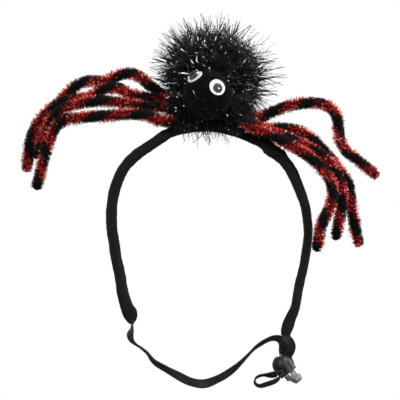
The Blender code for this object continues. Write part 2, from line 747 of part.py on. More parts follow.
def make_eye(name, facing, back_finish, pupil_finish, dome_finish, group):
    """A wiggle eye: a white back, a loose pupil that lies at its lowest, and a clear dome."""
    downhill = (Vector((0, 0, -1)) + facing * facing.z).normalized()
    frame = axes_frame(HEAD_CENTRE + facing * (HEAD_RADIUS + GAP), downhill, facing)
    edge = EYE_BACK_THICKNESS * 0.3
    back_profile = [
        (0, EYE_BACK_THICKNESS),
        (EYE_RADIUS - edge, EYE_BACK_THICKNESS),
        (EYE_RADIUS, EYE_BACK_THICKNESS - edge),
        (EYE_RADIUS, 0),
        (0, 0),
    ]
    place(turned(name + "_back", back_profile, back_finish, group, 20), frame)
    pupil_base = EYE_BACK_THICKNESS + GAP
    pupil_profile = [
        (0, pupil_base + PUPIL_THICKNESS),
        (PUPIL_RADIUS, pupil_base + PUPIL_THICKNESS),
        (PUPIL_RADIUS, pupil_base),
        (0, pupil_base),
    ]
    pupil = turned(name + "_pupil", pupil_profile, pupil_finish, group, 18)
    shift = pupil.modifiers.new("drop", "DISPLACE")
    shift.direction = "X"
    shift.mid_level = 0.0
    shift.strength = PUPIL_DROP
    place(pupil, frame)
    outer_squash = EYE_DOME_HEIGHT / EYE_RADIUS
    inner_radius = EYE_RADIUS - EYE_DOME_WALL
    inner_squash = (EYE_DOME_HEIGHT - EYE_DOME_WALL) / inner_radius
    dome_profile = arc(EYE_RADIUS, 90, 0, 6, outer_squash, pupil_base)
    dome_profile[0] = (0, pupil_base + EYE_DOME_HEIGHT)
    dome_profile += arc(inner_radius, 0, 90, 6, inner_squash, pupil_base)
    dome_profile[-1] = (0, pupil_base + EYE_DOME_HEIGHT - EYE_DOME_WALL)
    place(turned(name + "_dome", dome_profile, dome_finish, group, 20), frame)


def main():
    clear_scene()
    parts = collection("spider_headband")
    cutters = collection("cutters")
    black_cloth = material("black_cloth", (0.012, 0.012, 0.012), 0.85)
    elastic = material("black_elastic", (0.010, 0.010, 0.010), 0.7)
    barrel_plastic = material("dark_grey_plastic", (0.035, 0.035, 0.033), 0.3)
    plunger_plastic = material("light_grey_plastic", (0.16, 0.16, 0.155), 0.3)
    tinsel = material("black_tinsel", (0.010, 0.010, 0.011), 0.25, 0.4)
    yarn = material("black_yarn", (0.008, 0.008, 0.008), 0.9)
    chenille = material("red_and_black_chenille", (0.22, 0.008, 0.01), 0.5, 0.2)
    white_card = material("white_plastic", (0.85, 0.85, 0.83), 0.4)
    pupil_black = material("black_plastic", (0.006, 0.006, 0.006), 0.3)
    clear_plastic = material("clear_plastic", (0.9, 0.9, 0.9), 0.05, alpha=0.25)
    make_headband(black_cloth, parts)
    make_strap(elastic, parts)
    make_lock(barrel_plastic, plunger_plastic, parts, cutters)
    make_spider(tinsel, yarn, chenille, parts, cutters)
    for name, facing in EYE_FACING.items():
        make_eye(name, facing, white_card, pupil_black, clear_plastic, parts)


main()
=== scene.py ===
"""The looks of a spider headband: tinsel, chenille, padded cloth, ribbed elastic and a cord lock."""
import math

import bmesh
import bpy
import numpy as np
from mathutils import Matrix, Vector


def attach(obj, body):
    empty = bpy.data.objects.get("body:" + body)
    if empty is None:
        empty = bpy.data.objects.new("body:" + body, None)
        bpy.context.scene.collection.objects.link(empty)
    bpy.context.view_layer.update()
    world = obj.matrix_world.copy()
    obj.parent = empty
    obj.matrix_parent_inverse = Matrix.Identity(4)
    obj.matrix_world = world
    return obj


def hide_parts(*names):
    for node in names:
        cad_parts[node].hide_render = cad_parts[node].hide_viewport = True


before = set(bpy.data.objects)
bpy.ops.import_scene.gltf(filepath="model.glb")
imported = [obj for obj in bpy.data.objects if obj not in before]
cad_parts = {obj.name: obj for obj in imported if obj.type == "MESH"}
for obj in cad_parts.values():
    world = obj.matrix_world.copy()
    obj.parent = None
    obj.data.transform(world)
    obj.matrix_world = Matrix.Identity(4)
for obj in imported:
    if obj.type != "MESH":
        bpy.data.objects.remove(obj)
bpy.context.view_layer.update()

# Headband
BAND_HALF_SPAN = 0.0738
BAND_HEIGHT = 0.1557
BAND_WIDTH = 0.0084
BAND_DEPTH = 0.0088
BAND_CLEAR = 0.001
DRAG_WRINKLES = 0.00013
SMALL_WRINKLES = 0.00007
FOLD_RISE = 0.0013
FOLD_LENGTH = 0.0036
FOLD_LEAN = 0.0038
FOLD_SHIFT = 0.0015
CREASE_WIDTH = 0.0011
GATHER_RISE = 0.00016
GATHER_LENGTH = 0.02
GATHER_PITCH = 0.0031
SEAM_DEPTH = 0.00035
SEAM_WIDTH = 0.0004

# The creases beside the fold: where, lean, depth
FOLD_CREASES = [(-0.006, 0.004, 0.0003), (0.001, -0.003, 0.0004), (0.007, 0.003, 0.0004)]

# Chin strap
STRAP_WIDTH = 0.0068
STRAP_THICKNESS = 0.0011
STRAP_DROP = 0.0445
STRAP_GATHER = 0.75
STRAP_RIBS = 8
STRAP_RIB_RISE = 0.00011
STRAP_CREASE = 0.00035
STRAP_SWAY = 0.00022
STRAP_GAP = 0.0003
LOOP_LENGTH = 0.0215

# Cord lock
LOCK_RADIUS = 0.0077
LOCK_BELOW_END = 0.0225
LOCK_INSET = 0.0023
LOCK_RIM_RADIUS = 0.0070
LOCK_RIM_HEIGHT = 0.0078
LOCK_HOLE_HEIGHT = 0.0040
LOCK_HOLE_WIDTH = 0.0076
LOCK_HOLE_LENGTH = 0.0052
LOCK_LEAN = math.radians(38)
LOCK_TILT = math.radians(8)
LOCK_ROLL = math.radians(55)
LOCK_SHOULDER = math.radians(15)
LOCK_BORE_FLOOR = -0.0049
LOCK_PLAY = 0.0003
STEM_RADIUS = 0.0047
STEM_FOOT = 0.0006
STEM_WINDOW = 0.0063
WINDOW_LOW = 0.0023
WINDOW_HIGH = 0.0100
BUTTON_RADIUS = 0.0061
BUTTON_START = 0.0121
BUTTON_END = 0.0175
BUTTON_FLARE = 0.0003
BUTTON_TAPER = 0.0016
BUTTON_NARROWING = 0.72
NOTCH_SIZE = 0.024

# Tinsel body
BODY_CENTRE = Vector((0.003, 0.012, 0.0391))
BODY_CORE_RADIUS = 0.0295
BODY_REACH = 0.0345
BODY_SHIFT = (-0.0004, 0, 0.0016)
STRIP_WIDTHS = (0.00045, 0.00075)
TUFT_WIDTHS = (0.0005, 0.0009)
FRINGE_WIDTHS = (0.0004, 0.0007)
FRINGE_LENGTHS = (0.007, 0.017)
MAT_LENGTHS = (0.003, 0.0085)
MAT_STRIPS = 900

# Yarn head
HEAD_CENTRE = Vector((-0.0015, -0.023, 0.0264))
HEAD_CORE_RADIUS = 0.0155
HEAD_REACH = 0.0182
HEAD_SEAT_RADIUS = 0.0161
YARN_STRANDS = 12000
YARN_LENGTHS = (0.0020, 0.0046)
YARN_WIDTHS = (0.00022, 0.00038)

# Legs
LEG_REACH = 0.136
LEG_PITCH = 0.00954
LEG_HUB = Vector((0.003, 0, 0.016))
LEG_BAND_LENGTH = 0.0325
LEG_CORE_RADIUS = 0.003
RED_PER_METRE = 4300 / 0.15
RED_REACH = (0.0039, 0.0061)
RED_WIDTHS = (0.0005, 0.0008)
BLACK_PER_METRE = 8600 / 0.15
BLACK_REACH = (0.0044, 0.0051)
BLACK_WIDTHS = (0.00042, 0.00062)

# Mats of tinsel over the roots of the legs: across, back, up, radius
SKIRT_MATS = [
    (-0.0195, -0.009, 0.0155, 0.0105), (-0.0165, 0.006, 0.015, 0.011),
    (0.0185, -0.0115, 0.013, 0.0112), (0.0195, 0.006, 0.015, 0.0115),
    (0.003, 0.001, 0.0125, 0.0105),
]

# Wiggle eyes
EYE_RADIUS = 0.006
EYE_BACK_THICKNESS = 0.001
EYE_DOME_HEIGHT = 0.0029
EYE_FLANGE = 0.0005
EYE_RIM_WIDTH = 0.0004
EYE_RIM_RISE = 0.00012
DOME_WALL = 0.0004
DOME_LIFT = 0.0003
PUPIL_RADIUS = 0.0037
PUPIL_THICKNESS = 0.0006
PUPIL_DROP = 0.0007
EYE_FACING = {
    "left": Vector((-0.536, -0.37, 0.757)).normalized(),
    "right": Vector((0.43, -0.86, 0.27)).normalized(),
}

# Camera: the photo's frame is 0.3 m wide at the headband
CAMERA_DISTANCE = 1.15
FRAME_WIDTH = 0.3
FRAME_CENTRE = Vector((-0.00675, 0, -0.05085))
ROOM_RADIUS = 4.0
ROOM_FLOOR = -0.9

# The body's tinsel: strips, nearest and farthest reach, disorder, width
BODY_LAYERS = [
    (7200, 0.92, 1.06, 1.1, 0.9), (2900, 1.02, 1.25, 1.0, 1.15), (330, 1.20, 1.52, 0.8, 1.3),
]

# Soft boxes: name, place, size, power
LAMPS = [
    ("key", (0.70, -0.26, 1.05), (0.26, 0.26), 16.0),
    ("front_left", (-0.50, -1.10, 0.55), (0.14, 0.14), 9.0),
    ("front_right", (0.85, -1.00, 0.20), (0.14, 0.14), 8.0),
    ("left_rim", (-1.0, 0.45, 0.25), (0.2, 0.4), 6.0),
    ("right_rim", (1.0, 0.45, 0.25), (0.2, 0.4), 6.0),
    ("back", (-0.2, 1.1, 0.50), (0.3, 0.3), 8.0),
]

# The headband's line: across, down, width, depth
BAND_ROUTE = [
    (-0.78, 0.953, 0.22, 0.14), (-0.786, 0.94, 0.72, 0.22), (-0.792, 0.922, 1.12, 0.28),
    (-0.803, 0.9, 1.34, 0.36), (-0.831, 0.874, 1.2, 0.48), (-0.862, 0.828, 1.1, 0.76),
    (-0.905, 0.72, 1.02, 1), (-0.962, 0.575, 1, 1), (-0.992, 0.426, 1, 1), (-0.967, 0.322, 1, 1),
    (-0.915, 0.246, 1, 1), (-0.84, 0.184, 1, 1), (-0.737, 0.137, 1, 1), (-0.564, 0.08, 0.98, 1),
    (-0.4, 0.03, 0.96, 1), (-0.194, 0.005, 0.95, 1), (0.011, 0, 0.95, 1), (0.224, 0.017, 0.96, 1),
    (0.417, 0.05, 1, 1), (0.561, 0.081, 1.1, 1.04), (0.652, 0.117, 1.16, 1.08),
    (0.738, 0.153, 1.07, 1), (0.81, 0.192, 1.04, 0.95), (0.896, 0.276, 0.97, 0.95),
    (0.97, 0.371, 0.88, 0.95), (1.007, 0.5, 0.83, 0.95), (0.975, 0.64, 0.83, 0.95),
    (0.912, 0.775, 0.84, 0.9), (0.866, 0.884, 0.88, 0.72), (0.832, 0.921, 0.97, 0.46),
    (0.803, 0.958, 1.07, 0.34), (0.784, 0.986, 0.98, 0.3), (0.778, 1.003, 0.84, 0.28),
]

# The elastic from inside the left end to the lock: across, down, back, turn, width
CHIN_RUN = [
    (0.006, -0.09, 0, 84, 0.3), (0.0005, 0.008, 0, 84, 0.55), (-0.002, 0.08, 0, 70, 1),
    (-0.014, 0.18, 0, 44, 1), (-0.005, 0.265, 0, 54, 1), (0.018, 0.33, 0, 69, 1),
    (0.055, 0.391, 0, 78, 1), (0.093, 0.47, 0, 75, 1), (0.13, 0.596, 0, 57, 1),
    (0.193, 0.712, 0, 44, 1), (0.285, 0.845, 0, 22, 1), (0.385, 0.97, 0, 12, 1),
    (0.463, 1, 0, 2, 1), (0.561, 0.915, 0, 24, 1), (0.642, 0.79, 0, 38, 1),
    (0.706, 0.645, 0.04, 60, 1), (0.761, 0.501, 0.15, 71, 1), (0.816, 0.375, 0.33, 66, 1),
    (0.881, 0.275, 0.57, 60, 1), (0.94, 0.24, 0.72, 44, 1), (0.97, 0.262, 0.76, 22, 1),
    (0.985, 0.32, 0.8, 10, 1), (0.989, 0.395, 0.95, 4, 1), (0.989, 0.465, 1.18, 0, 1),
    (0.993, 0.535, 1.36, 0, 0.9),
]

# Behind the lock, in its frame: behind, aside, on, settled, width
FIRST_ENTRY = [
    (1.5, -0.1, -0.15, 0.35, 0.82), (1.4, -0.03, 0.3, 0.8, 0.77),
]
SECOND_ENTRY = [
    (1.28, 0.3, -0.33, 0.45, 0.82), (1.22, 0.08, 0.12, 0.85, 0.77),
]

# The slack loop: left, down, front, turn, width, settled
SLACK_LOOP = [
    (0.11, 0.375, 0.395, 122, 0.8, 0.75), (0.214, 0.474, 0.385, 124, 0.9, 0.35),
    (0.375, 0.563, 0.35, 126, 0.97, 0), (0.6, 0.65, 0.3, 126, 1, 0), (0.786, 0.7, 0.275, 118, 1, 0),
    (0.916, 0.662, 0.265, 108, 1, 0), (0.972, 0.586, 0.265, 100, 1, 0),
    (0.972, 0.493, 0.27, 84, 1, 0), (0.912, 0.405, 0.285, 76, 1, 0), (0.805, 0.342, 0.3, 73, 1, 0),
    (0.656, 0.318, 0.326, 71, 1, 0), (0.484, 0.322, 0.352, 52, 1, 0),
    (0.345, 0.302, 0.38, 38, 0.98, 0.15), (0.225, 0.266, 0.405, 34, 0.9, 0.5),
]

# From the lock up into the right end: across, down, back, turn, width
RETURN_RUN = [
    (0.164, 0.62, 0.72, 10, 0.95), (0.197, 0.4, 0.36, 4, 1), (0.135, 0.23, 0.08, 2, 1),
    (0.03, 0.1, 0, 0, 1), (0.02, 0.016, 0, 0, 0.97), (0.04, -0.15, 0, 0, 0.92),
]

# Each leg's bends: out, up, back
LEG_BENDS = {
    "left_leg_1": [
        (0.08, 0.05, 1.45), (0.22, 0.07, 1.45), (0.3, 0.11, 1.45), (0.36, 0.155, 1.45),
        (0.405, 0.195, 1.5), (0.455, 0.216, 1.5), (0.515, 0.209, 1.55), (0.6, 0.172, 1.6),
        (0.7, 0.173, 1.7), (0.772, 0.144, 1.8), (0.838, 0.08, 1.9), (0.902, 0.01, 2),
        (0.95, -0.085, 2.1), (0.99, -0.25, 2.2),
    ],
    "left_leg_2": [
        (0.08, 0.04, 0.45), (0.2, 0.06, 0.45), (0.31, 0.07, 0.45), (0.39, 0.078, 0.45),
        (0.46, 0.095, 0.45), (0.54, 0.132, 0.5), (0.6, 0.125, 0.5), (0.68, 0.082, 0.6),
        (0.785, 0.065, 0.6), (0.88, 0.026, 0.7), (0.953, -0.036, 0.8), (1.004, -0.13, 0.9),
        (1.036, -0.325, 1),
    ],
    "left_leg_3": [
        (0.08, 0.02, -0.55), (0.2, 0.01, -0.55), (0.32, 0.018, -0.55), (0.51, 0.043, -0.55),
        (0.6, 0.053, -0.55), (0.7, 0.045, -0.6), (0.78, 0.025, -0.6), (0.855, -0.015, -0.6),
        (0.905, -0.08, -0.6), (0.95, -0.23, -0.6),
    ],
    "left_leg_4": [
        (0.08, 0.02, -1.52), (0.135, 0.014, -1.5), (0.195, -0.056, -1.55), (0.275, -0.062, -1.6),
        (0.365, -0.03, -1.65), (0.44, -0.024, -1.7), (0.565, -0.032, -1.75), (0.73, -0.045, -1.8),
        (0.812, -0.06, -1.85), (0.857, -0.098, -1.9), (0.886, -0.155, -1.95),
        (0.913, -0.245, -2.05), (0.956, -0.425, -2.2),
    ],
    "right_leg_1": [
        (0.08, 0.04, 1.45), (0.175, -0.015, 1.45), (0.25, -0.035, 1.5), (0.32, -0.005, 1.6),
        (0.41, 0.03, 1.75), (0.5, 0.05, 1.9), (0.592, 0.05, 2), (0.658, 0.028, 2.1),
        (0.697, -0.024, 2.15), (0.706, -0.092, 2.2), (0.714, -0.155, 2.25), (0.744, -0.207, 2.3),
        (0.822, -0.274, 2.35), (0.922, -0.354, 2.4),
    ],
    "right_leg_2": [
        (0.08, 0.02, 0.45), (0.175, -0.045, 0.45), (0.27, -0.093, 0.45), (0.375, -0.095, 0.45),
        (0.47, -0.107, 0.45), (0.535, -0.143, 0.45), (0.615, -0.22, 0.5), (0.695, -0.32, 0.55),
        (0.745, -0.395, 0.6), (0.763, -0.49, 0.65), (0.78, -0.6, 0.7), (0.81, -0.74, 0.8),
    ],
    "right_leg_3": [
        (0.08, 0.012, -0.62), (0.185, -0.07, -0.8), (0.285, -0.11, -0.8), (0.375, -0.138, -0.7),
        (0.465, -0.175, -0.62), (0.56, -0.222, -0.6), (0.64, -0.29, -0.6), (0.69, -0.37, -0.6),
        (0.706, -0.45, -0.6), (0.703, -0.54, -0.6), (0.69, -0.615, -0.6), (0.672, -0.7, -0.65),
    ],
    "right_leg_4": [
        (0.07, 0.035, -1.62), (0.155, -0.06, -1.85), (0.26, -0.118, -1.85), (0.345, -0.155, -1.8),
        (0.435, -0.202, -1.75), (0.53, -0.262, -1.75), (0.6, -0.33, -1.75), (0.644, -0.405, -1.8),
        (0.649, -0.47, -1.85), (0.632, -0.53, -1.9), (0.59, -0.62, -1.95), (0.562, -0.76, -2),
    ],
}

# Where the black strand comes to the front of each leg, from its tip
LEG_BLACKS = {
    "left_leg_1": [0.029, 0.067, 0.106, 0.129],
    "left_leg_2": [0.021, 0.059, 0.097, 0.128],
    "left_leg_3": [0.030, 0.066, 0.102],
    "left_leg_4": [0.004, 0.027, 0.051, 0.081, 0.112],
    "right_leg_1": [0.021, 0.055, 0.085, 0.114],
    "right_leg_2": [0.015, 0.050, 0.087],
    "right_leg_3": [0.002, 0.028, 0.050, 0.073, 0.098],
    "right_leg_4": [0.000, 0.023, 0.045, 0.073, 0.104],
}

# Tufts of longer tinsel: degrees up from the right in the front view, spread, reach, strips
TUFTS = [
    (144, 7, 0.054, 26), (131, 6, 0.053, 34), (119, 6, 0.052, 30), (161, 8, 0.053, 18),
    (178, 9, 0.051, 14), (105, 5, 0.051, 14), (94, 4, 0.052, 9), (80, 5, 0.054, 14),
    (63, 6, 0.053, 14), (47, 4, 0.053, 8), (29, 6, 0.057, 12), (12, 6, 0.062, 12),
    (0, 5, 0.058, 12), (-22, 9, 0.053, 26),
]


def unit(vectors):
    return vectors / np.linalg.norm(vectors, axis=-1, keepdims=True)


def smooth_route(rows, count):
    """Rows that start with a place, read at even steps along one smooth curve through them."""
    rows = np.array(rows, dtype=float)
    steps = np.linalg.norm(np.diff(rows[:, :3], axis=0), axis=1)
    slopes = np.diff(rows, axis=0) / steps[:, None]
    before, after = steps[:-1, None], steps[1:, None]
    inner = (slopes[:-1] * after + slopes[1:] * before) / (before + after)
    ahead = np.concatenate([slopes[:1], inner, slopes[-1:]])
    fine = []
    for index, step in enumerate(steps):
        for t in np.linspace(0, 1, 24, endpoint=False):
            fine.append(
                (2 * t ** 3 - 3 * t ** 2 + 1) * rows[index]
                + (t ** 3 - 2 * t ** 2 + t) * step * ahead[index]
                + (3 * t ** 2 - 2 * t ** 3) * rows[index + 1]
                + (t ** 3 - t ** 2) * step * ahead[index + 1]
            )
    fine.append(rows[-1])
    fine = np.array(fine)
    length = travelled(fine[:, :3])
    wanted = np.linspace(0, length[-1], count)
    return np.stack([np.interp(wanted, length, column) for column in fine.T], axis=1)


def travelled(places):
    return np.concatenate([[0], np.cumsum(np.linalg.norm(np.diff(places, axis=0), axis=1))])


def ahead_of(places):
    return unit(np.gradient(places, axis=0))


def ripple(along, around, seed, shortest, longest, waves=18):
    """Smooth seeded noise between about -1 and 1 over a surface, in metres along and turns around."""
    draw = np.random.default_rng(seed)
    total = np.zeros(np.broadcast(along, around).shape)
    for _ in range(waves):
        length = shortest * (longest / shortest) ** draw.random()
        turns = draw.integers(-2, 3)
        total += np.cos(math.tau * (along / length + turns * around + draw.random()))
    return total / math.sqrt(waves)


def choose(*pieces):
    """Selects only these pieces, in object mode, and makes the first one active."""
    if bpy.context.object and bpy.context.object.mode != "OBJECT":
        bpy.ops.object.mode_set(mode="OBJECT")
    bpy.ops.object.select_all(action="DESELECT")
    for piece in pieces:
        piece.select_set(True)
    if pieces:
        bpy.context.view_layer.objects.active = pieces[0]


def apply_place():
    bpy.ops.object.transform_apply(location=True, rotation=True, scale=True)


def add_solid(name, primitive, **sizes):
    """A new primitive, alone selected, with its place in its mesh."""
    choose()
    primitive(**sizes)
    solid = bpy.context.object
    solid.name = name
    apply_place()
    return solid


def new_object(name, data, finish=None):
    made = bpy.data.objects.new(name, data)
    bpy.context.scene.collection.objects.link(made)
    if finish:
        data.materials.append(finish)
    return made


def skin(name, rings, along, girth, finish):
    """A closed skin over rings of points, with a UV map in millimetres around and along."""
    count, sides = rings.shape[:2]
    points = list(rings.reshape(-1, 3))
    faces, places = [], []
    for ring in range(count - 1):
        for side in range(sides):
            after = (side + 1) % sides
            near, far = ring * sides, (ring + 1) * sides
            faces.append((near + side, near + after, far + after, far + side))
            left, right = side / sides * girth, (side + 1) / sides * girth
            low, high = along[ring], along[ring + 1]
            places += [(left, low), (right, low), (right, high), (left, high)]
    for ring, order in ((0, -1), (count - 1, 1)):
        middle = len(points)
        points.append(rings[ring].mean(axis=0))
        for side in range(sides)[::order]:
            after = (side + order) % sides
            faces.append((ring * sides + side, ring * sides + after, middle))
            places += [(0, along[ring])] * 3
    mesh = bpy.data.meshes.new(name)
    mesh.from_pydata(points, [], faces)
    layer = mesh.uv_layers.new(name="cloth")
    layer.data.foreach_set("uv", (np.array(places) * 1000).ravel())
    shape = bmesh.new()
    shape.from_mesh(mesh)
    bmesh.ops.recalc_face_normals(shape, faces=shape.faces)
    shape.to_mesh(mesh)
    shape.free()
    mesh.shade_smooth()
    return new_object(name, mesh, finish)


def strands(name, roots, tips, widths, finish, seed, steps=1, blunt=0.6, bow=0.0, glinting=0.0):
    """Thin three-sided strands from roots to tips, joined in one mesh.

    Each has one broad face, as a cut strip has, and bows sideways by a share of its length. Blunt
    is the width of its end as a share of its root's. Two attributes go with them: shade differs
    from strand to strand, and a painted glint is 1 at one ring of each strand in the glinting share,
    where the finish paints a highlight that glows; those strands are drawn 1.4 times as wide.
    """
    draw = np.random.default_rng(seed)
    count = len(roots)
    # The glinting share of strands carry a painted highlight and are drawn wider
    painted_glint_strands = draw.random(count) < glinting
    widths = widths * (1 + 0.4 * painted_glint_strands)
    bends = np.cross(tips - roots, unit(draw.normal(size=(count, 3)))) * bow
    flat = unit(np.cross(tips - roots, draw.normal(size=(count, 3))))
    thick = np.cross(unit(tips - roots), flat)
    twist = draw.normal(0, 0.5, (count, 1))
    rings = []
    for share in np.linspace(0, 1, steps + 1):
        middle = roots + (tips - roots) * share + bends * (4 * share * (1 - share))
        spread = widths[:, None] / 2 * (1 - (1 - blunt) * share)
        broad = flat * np.cos(twist * share) + thick * np.sin(twist * share)
        deep = (thick * np.cos(twist * share) - flat * np.sin(twist * share)) * 0.3
        corners = (broad + deep, deep - broad, -deep)
        rings.append(np.stack([middle + corner * spread for corner in corners], axis=1))
    points = np.concatenate(rings, axis=1)
    each = points.shape[1]
    faces = [(0, 1, 2), (each - 3, each - 1, each - 2)]
    for ring in range(steps):
        for side in range(3):
            low, after = 3 * ring, (side + 1) % 3
            faces.append((low + side, low + 3 + side, low + 3 + after))
            faces.append((low + side, low + 3 + after, low + after))
    indices = (np.array(faces)[None] + (np.arange(count) * each)[:, None, None]).ravel()
    mesh = bpy.data.meshes.new(name)
    mesh.vertices.add(count * each)
    mesh.vertices.foreach_set("co", points.ravel())
    mesh.loops.add(len(indices))
    mesh.loops.foreach_set("vertex_index", indices)
    mesh.polygons.add(len(indices) // 3)
    mesh.polygons.foreach_set("loop_start", np.arange(0, len(indices), 3))
    mesh.update(calc_edges=True)
    # Painted glint: 1 at one random ring of each glinting strand, where the finish paints a glowing
    # highlight
    glint = np.zeros((count, steps + 1, 3))
    glint[np.arange(count), draw.integers(min(1, steps - 1), steps + 1, count)] = 1
    glint *= painted_glint_strands[:, None, None]
    for title, values in (("shade", np.repeat(draw.random(count), each)), ("glint", glint.ravel())):
        mesh.attributes.new(title, "FLOAT", "POINT").data.foreach_set("value", values)
    return new_object(name, mesh, finish)


def join(name, *pieces):
    choose(*pieces)
    bpy.ops.object.join()
    pieces[0].name = name
    return pieces[0]


def dress(piece, slot, *nodes, body="headpiece"):
    """Hands a finished piece to its body and lets it stand for its nodes."""
    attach(piece, body)
    if nodes:
        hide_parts(*nodes)
    return piece


class Finish:
    """A material's node tree, with short calls for what these finishes share."""

    def __init__(self, name, color, roughness, **sockets):
        self.material = bpy.data.materials.new(name)
        self.material.use_nodes = True
        self.nodes = self.material.node_tree.nodes
        self.links = self.material.node_tree.links
        self.shader = self.nodes["Principled BSDF"]
        self.set("Base Color", (*color, 1))
        self.set("Roughness", roughness)
        for socket, value in sockets.items():
            self.set(socket.replace("_", " "), value)

    def set(self, socket, value):
        self.shader.inputs[socket].default_value = value

    def add(self, kind, **values):
        node = self.nodes.new("ShaderNode" + kind)
        for key, value in values.items():
            if key in node.inputs:
                node.inputs[key].default_value = value
            else:
                setattr(node, key, value)
        return node

    def link(self, source, target):
        self.links.new(source, target)

    def coordinates(self, output):
        return self.add("TexCoord").outputs[output]

    def noise(self, coordinates, scale, detail, roughness=0.55):
        node = self.add("TexNoise", Scale=scale, Detail=detail, Roughness=roughness)
        self.link(coordinates, node.inputs["Vector"])
        return node.outputs["Fac"]

    def waves(self, coordinates, scale, direction, distortion=0.0):
        node = self.add("TexWave", Scale=scale, Distortion=distortion, bands_direction=direction)
        self.link(coordinates, node.inputs["Vector"])
        return node.outputs["Fac"]

    def math(self, operation, first, second):
        node = self.add("Math", operation=operation)
        for slot, value in enumerate((first, second)):
            if isinstance(value, bpy.types.NodeSocket):
                self.link(value, node.inputs[slot])
            else:
                node.inputs[slot].default_value = value
        return node.outputs["Value"]

    def ramp(self, source, *stops):
        node = self.add("ValToRGB")
        band = node.color_ramp.elements
        while len(band) < len(stops):
            band.new(0.5)
        for stop, (place, color) in zip(band, stops):
            stop.position = place
            stop.color = (*color, 1)
        self.link(source, node.inputs["Fac"])
        return node.outputs["Color"]

    def paint(self, source, *stops):
        self.link(self.ramp(source, *stops), self.shader.inputs["Base Color"])

    def roughen(self, source, low, high):
        node = self.add("MapRange", **{"To Min": low, "To Max": high})
        self.link(source, node.inputs["Value"])
        self.link(node.outputs["Result"], self.shader.inputs["Roughness"])

    def bump(self, height, strength, distance):
        node = self.add("Bump", Strength=strength, Distance=distance)
        self.link(height, node.inputs["Height"])
        self.link(node.outputs["Normal"], self.shader.inputs["Normal"])

    def attribute(self, name):
        return self.add("Attribute", attribute_name=name).outputs["Fac"]


def cloth_finish():
    """Black woven cloth: a fine plain weave and a soft mottle."""
    finish = Finish("black_cloth", (0.010, 0.010, 0.009), 0.9, Specular_IOR_Level=0.18)
    cloth = finish.coordinates("UV")
    warp = finish.waves(cloth, 0.55, "X")
    weft = finish.waves(cloth, 0.55, "Y")
    weave = finish.math("MULTIPLY", warp, weft)
    mottle = finish.noise(cloth, 0.35, 5.0)
    finish.paint(mottle, (0.3, (0.004, 0.004, 0.003)), (0.7, (0.012, 0.011, 0.009)))
    finish.roughen(mottle, 0.8, 0.98)
    finish.bump(finish.math("ADD", weave, finish.math("MULTIPLY", mottle, 1.5)), 0.5, 0.0001)
    return finish.material


def elastic_finish():
    """Black knitted elastic: cross threads over its woven ribs."""
    finish = Finish("black_elastic", (0.012, 0.012, 0.012), 0.62, Specular_IOR_Level=0.4)
    cloth = finish.coordinates("UV")
    threads = finish.waves(cloth, 0.7, "Y", 0.6)
    mottle = finish.noise(cloth, 0.8, 4.0)
    finish.paint(mottle, (0.3, (0.004, 0.004, 0.004)), (0.75, (0.012, 0.011, 0.010)))
    finish.roughen(threads, 0.5, 0.75)
    finish.bump(threads, 0.6, 0.00012)
    return finish.material


def tinsel_finish(name, dark, light, glint, roughness, metallic):
    """Cut film with a lacquer: some strands lighter than others at random; at one spot on the glinting
    strands a painted highlight is added to the colour and made to glow.
    """
    finish = Finish(
        name, light, roughness, Metallic=metallic, Coat_Weight=metallic, Coat_Roughness=0.08,
        Emission_Strength=0.45,
    )
    shade = finish.attribute("shade")
    film = finish.ramp(shade, (0.2, dark), (1.0, light))
    # Painted highlight: the glint colour where the glint mark is 1, black elsewhere
    painted_highlight = finish.ramp(finish.attribute("glint"), (0.60, (0, 0, 0)), (0.85, glint))
    mixed = finish.add("Mix", data_type="RGBA", blend_type="ADD", Factor=1.0)
    finish.link(film, mixed.inputs[6])
    finish.link(painted_highlight, mixed.inputs[7])
    finish.link(mixed.outputs[2], finish.shader.inputs["Base Color"])
    # The painted highlight also drives the emission, so the glints glow
    finish.link(painted_highlight, finish.shader.inputs["Emission Color"])
    finish.roughen(shade, roughness * 0.7, roughness * 1.3)
    return finish.material


def fibre_finish(name, dark, light):
    """Matte cut fibres."""
    finish = Finish(name, light, 0.95, Specular_IOR_Level=0.12)
    finish.paint(finish.attribute("shade"), (0.0, dark), (1.0, light))
    return finish.material


def pile_finish(name, dark, light):
    """The matted roots under the strands. The red stem's pile is made darker than its tinsel, as painted
    shade in the gaps between strands.
    """
    finish = Finish(name, dark, 1.0, Specular_IOR_Level=0.05)
    grain = finish.noise(finish.coordinates("Object"), 900.0, 4.0)
    finish.paint(grain, (0.35, dark), (0.7, light))
    finish.bump(grain, 0.8, 0.0006)
    return finish.material


def plastic_finish(name, dark, light, roughness, **sockets):
    """Moulded plastic with a faint flow mottle and fine scuffs."""
    finish = Finish(name, light, roughness, **sockets)
    place = finish.coordinates("Object")
    flow = finish.noise(place, 160.0, 2.0)
    scuffs = finish.noise(place, 2400.0, 6.0, 0.7)
    finish.paint(flow, (0.3, dark), (0.7, light))
    finish.roughen(scuffs, roughness * 0.8, roughness * 1.5)
    finish.bump(scuffs, 0.05, 0.00003)
    return finish.material


def lock_frame():
    """The cord lock's frame: Z is the press axis towards the button, X the way the strap came from."""
    end = band_ends()[1]
    centre = end + Vector((-LOCK_INSET, 0, -LOCK_BELOW_END))
    press = Vector((
        math.sin(LOCK_LEAN) * math.cos(LOCK_TILT),
        -math.sin(LOCK_TILT),
        -math.cos(LOCK_LEAN) * math.cos(LOCK_TILT),
    ))
    sideways = press.cross(Vector((0, 1, 0))).normalized()
    rearward = sideways.cross(press).normalized()
    entry = sideways * math.cos(LOCK_ROLL) + rearward * math.sin(LOCK_ROLL)
    return axes_frame(centre, entry, press)


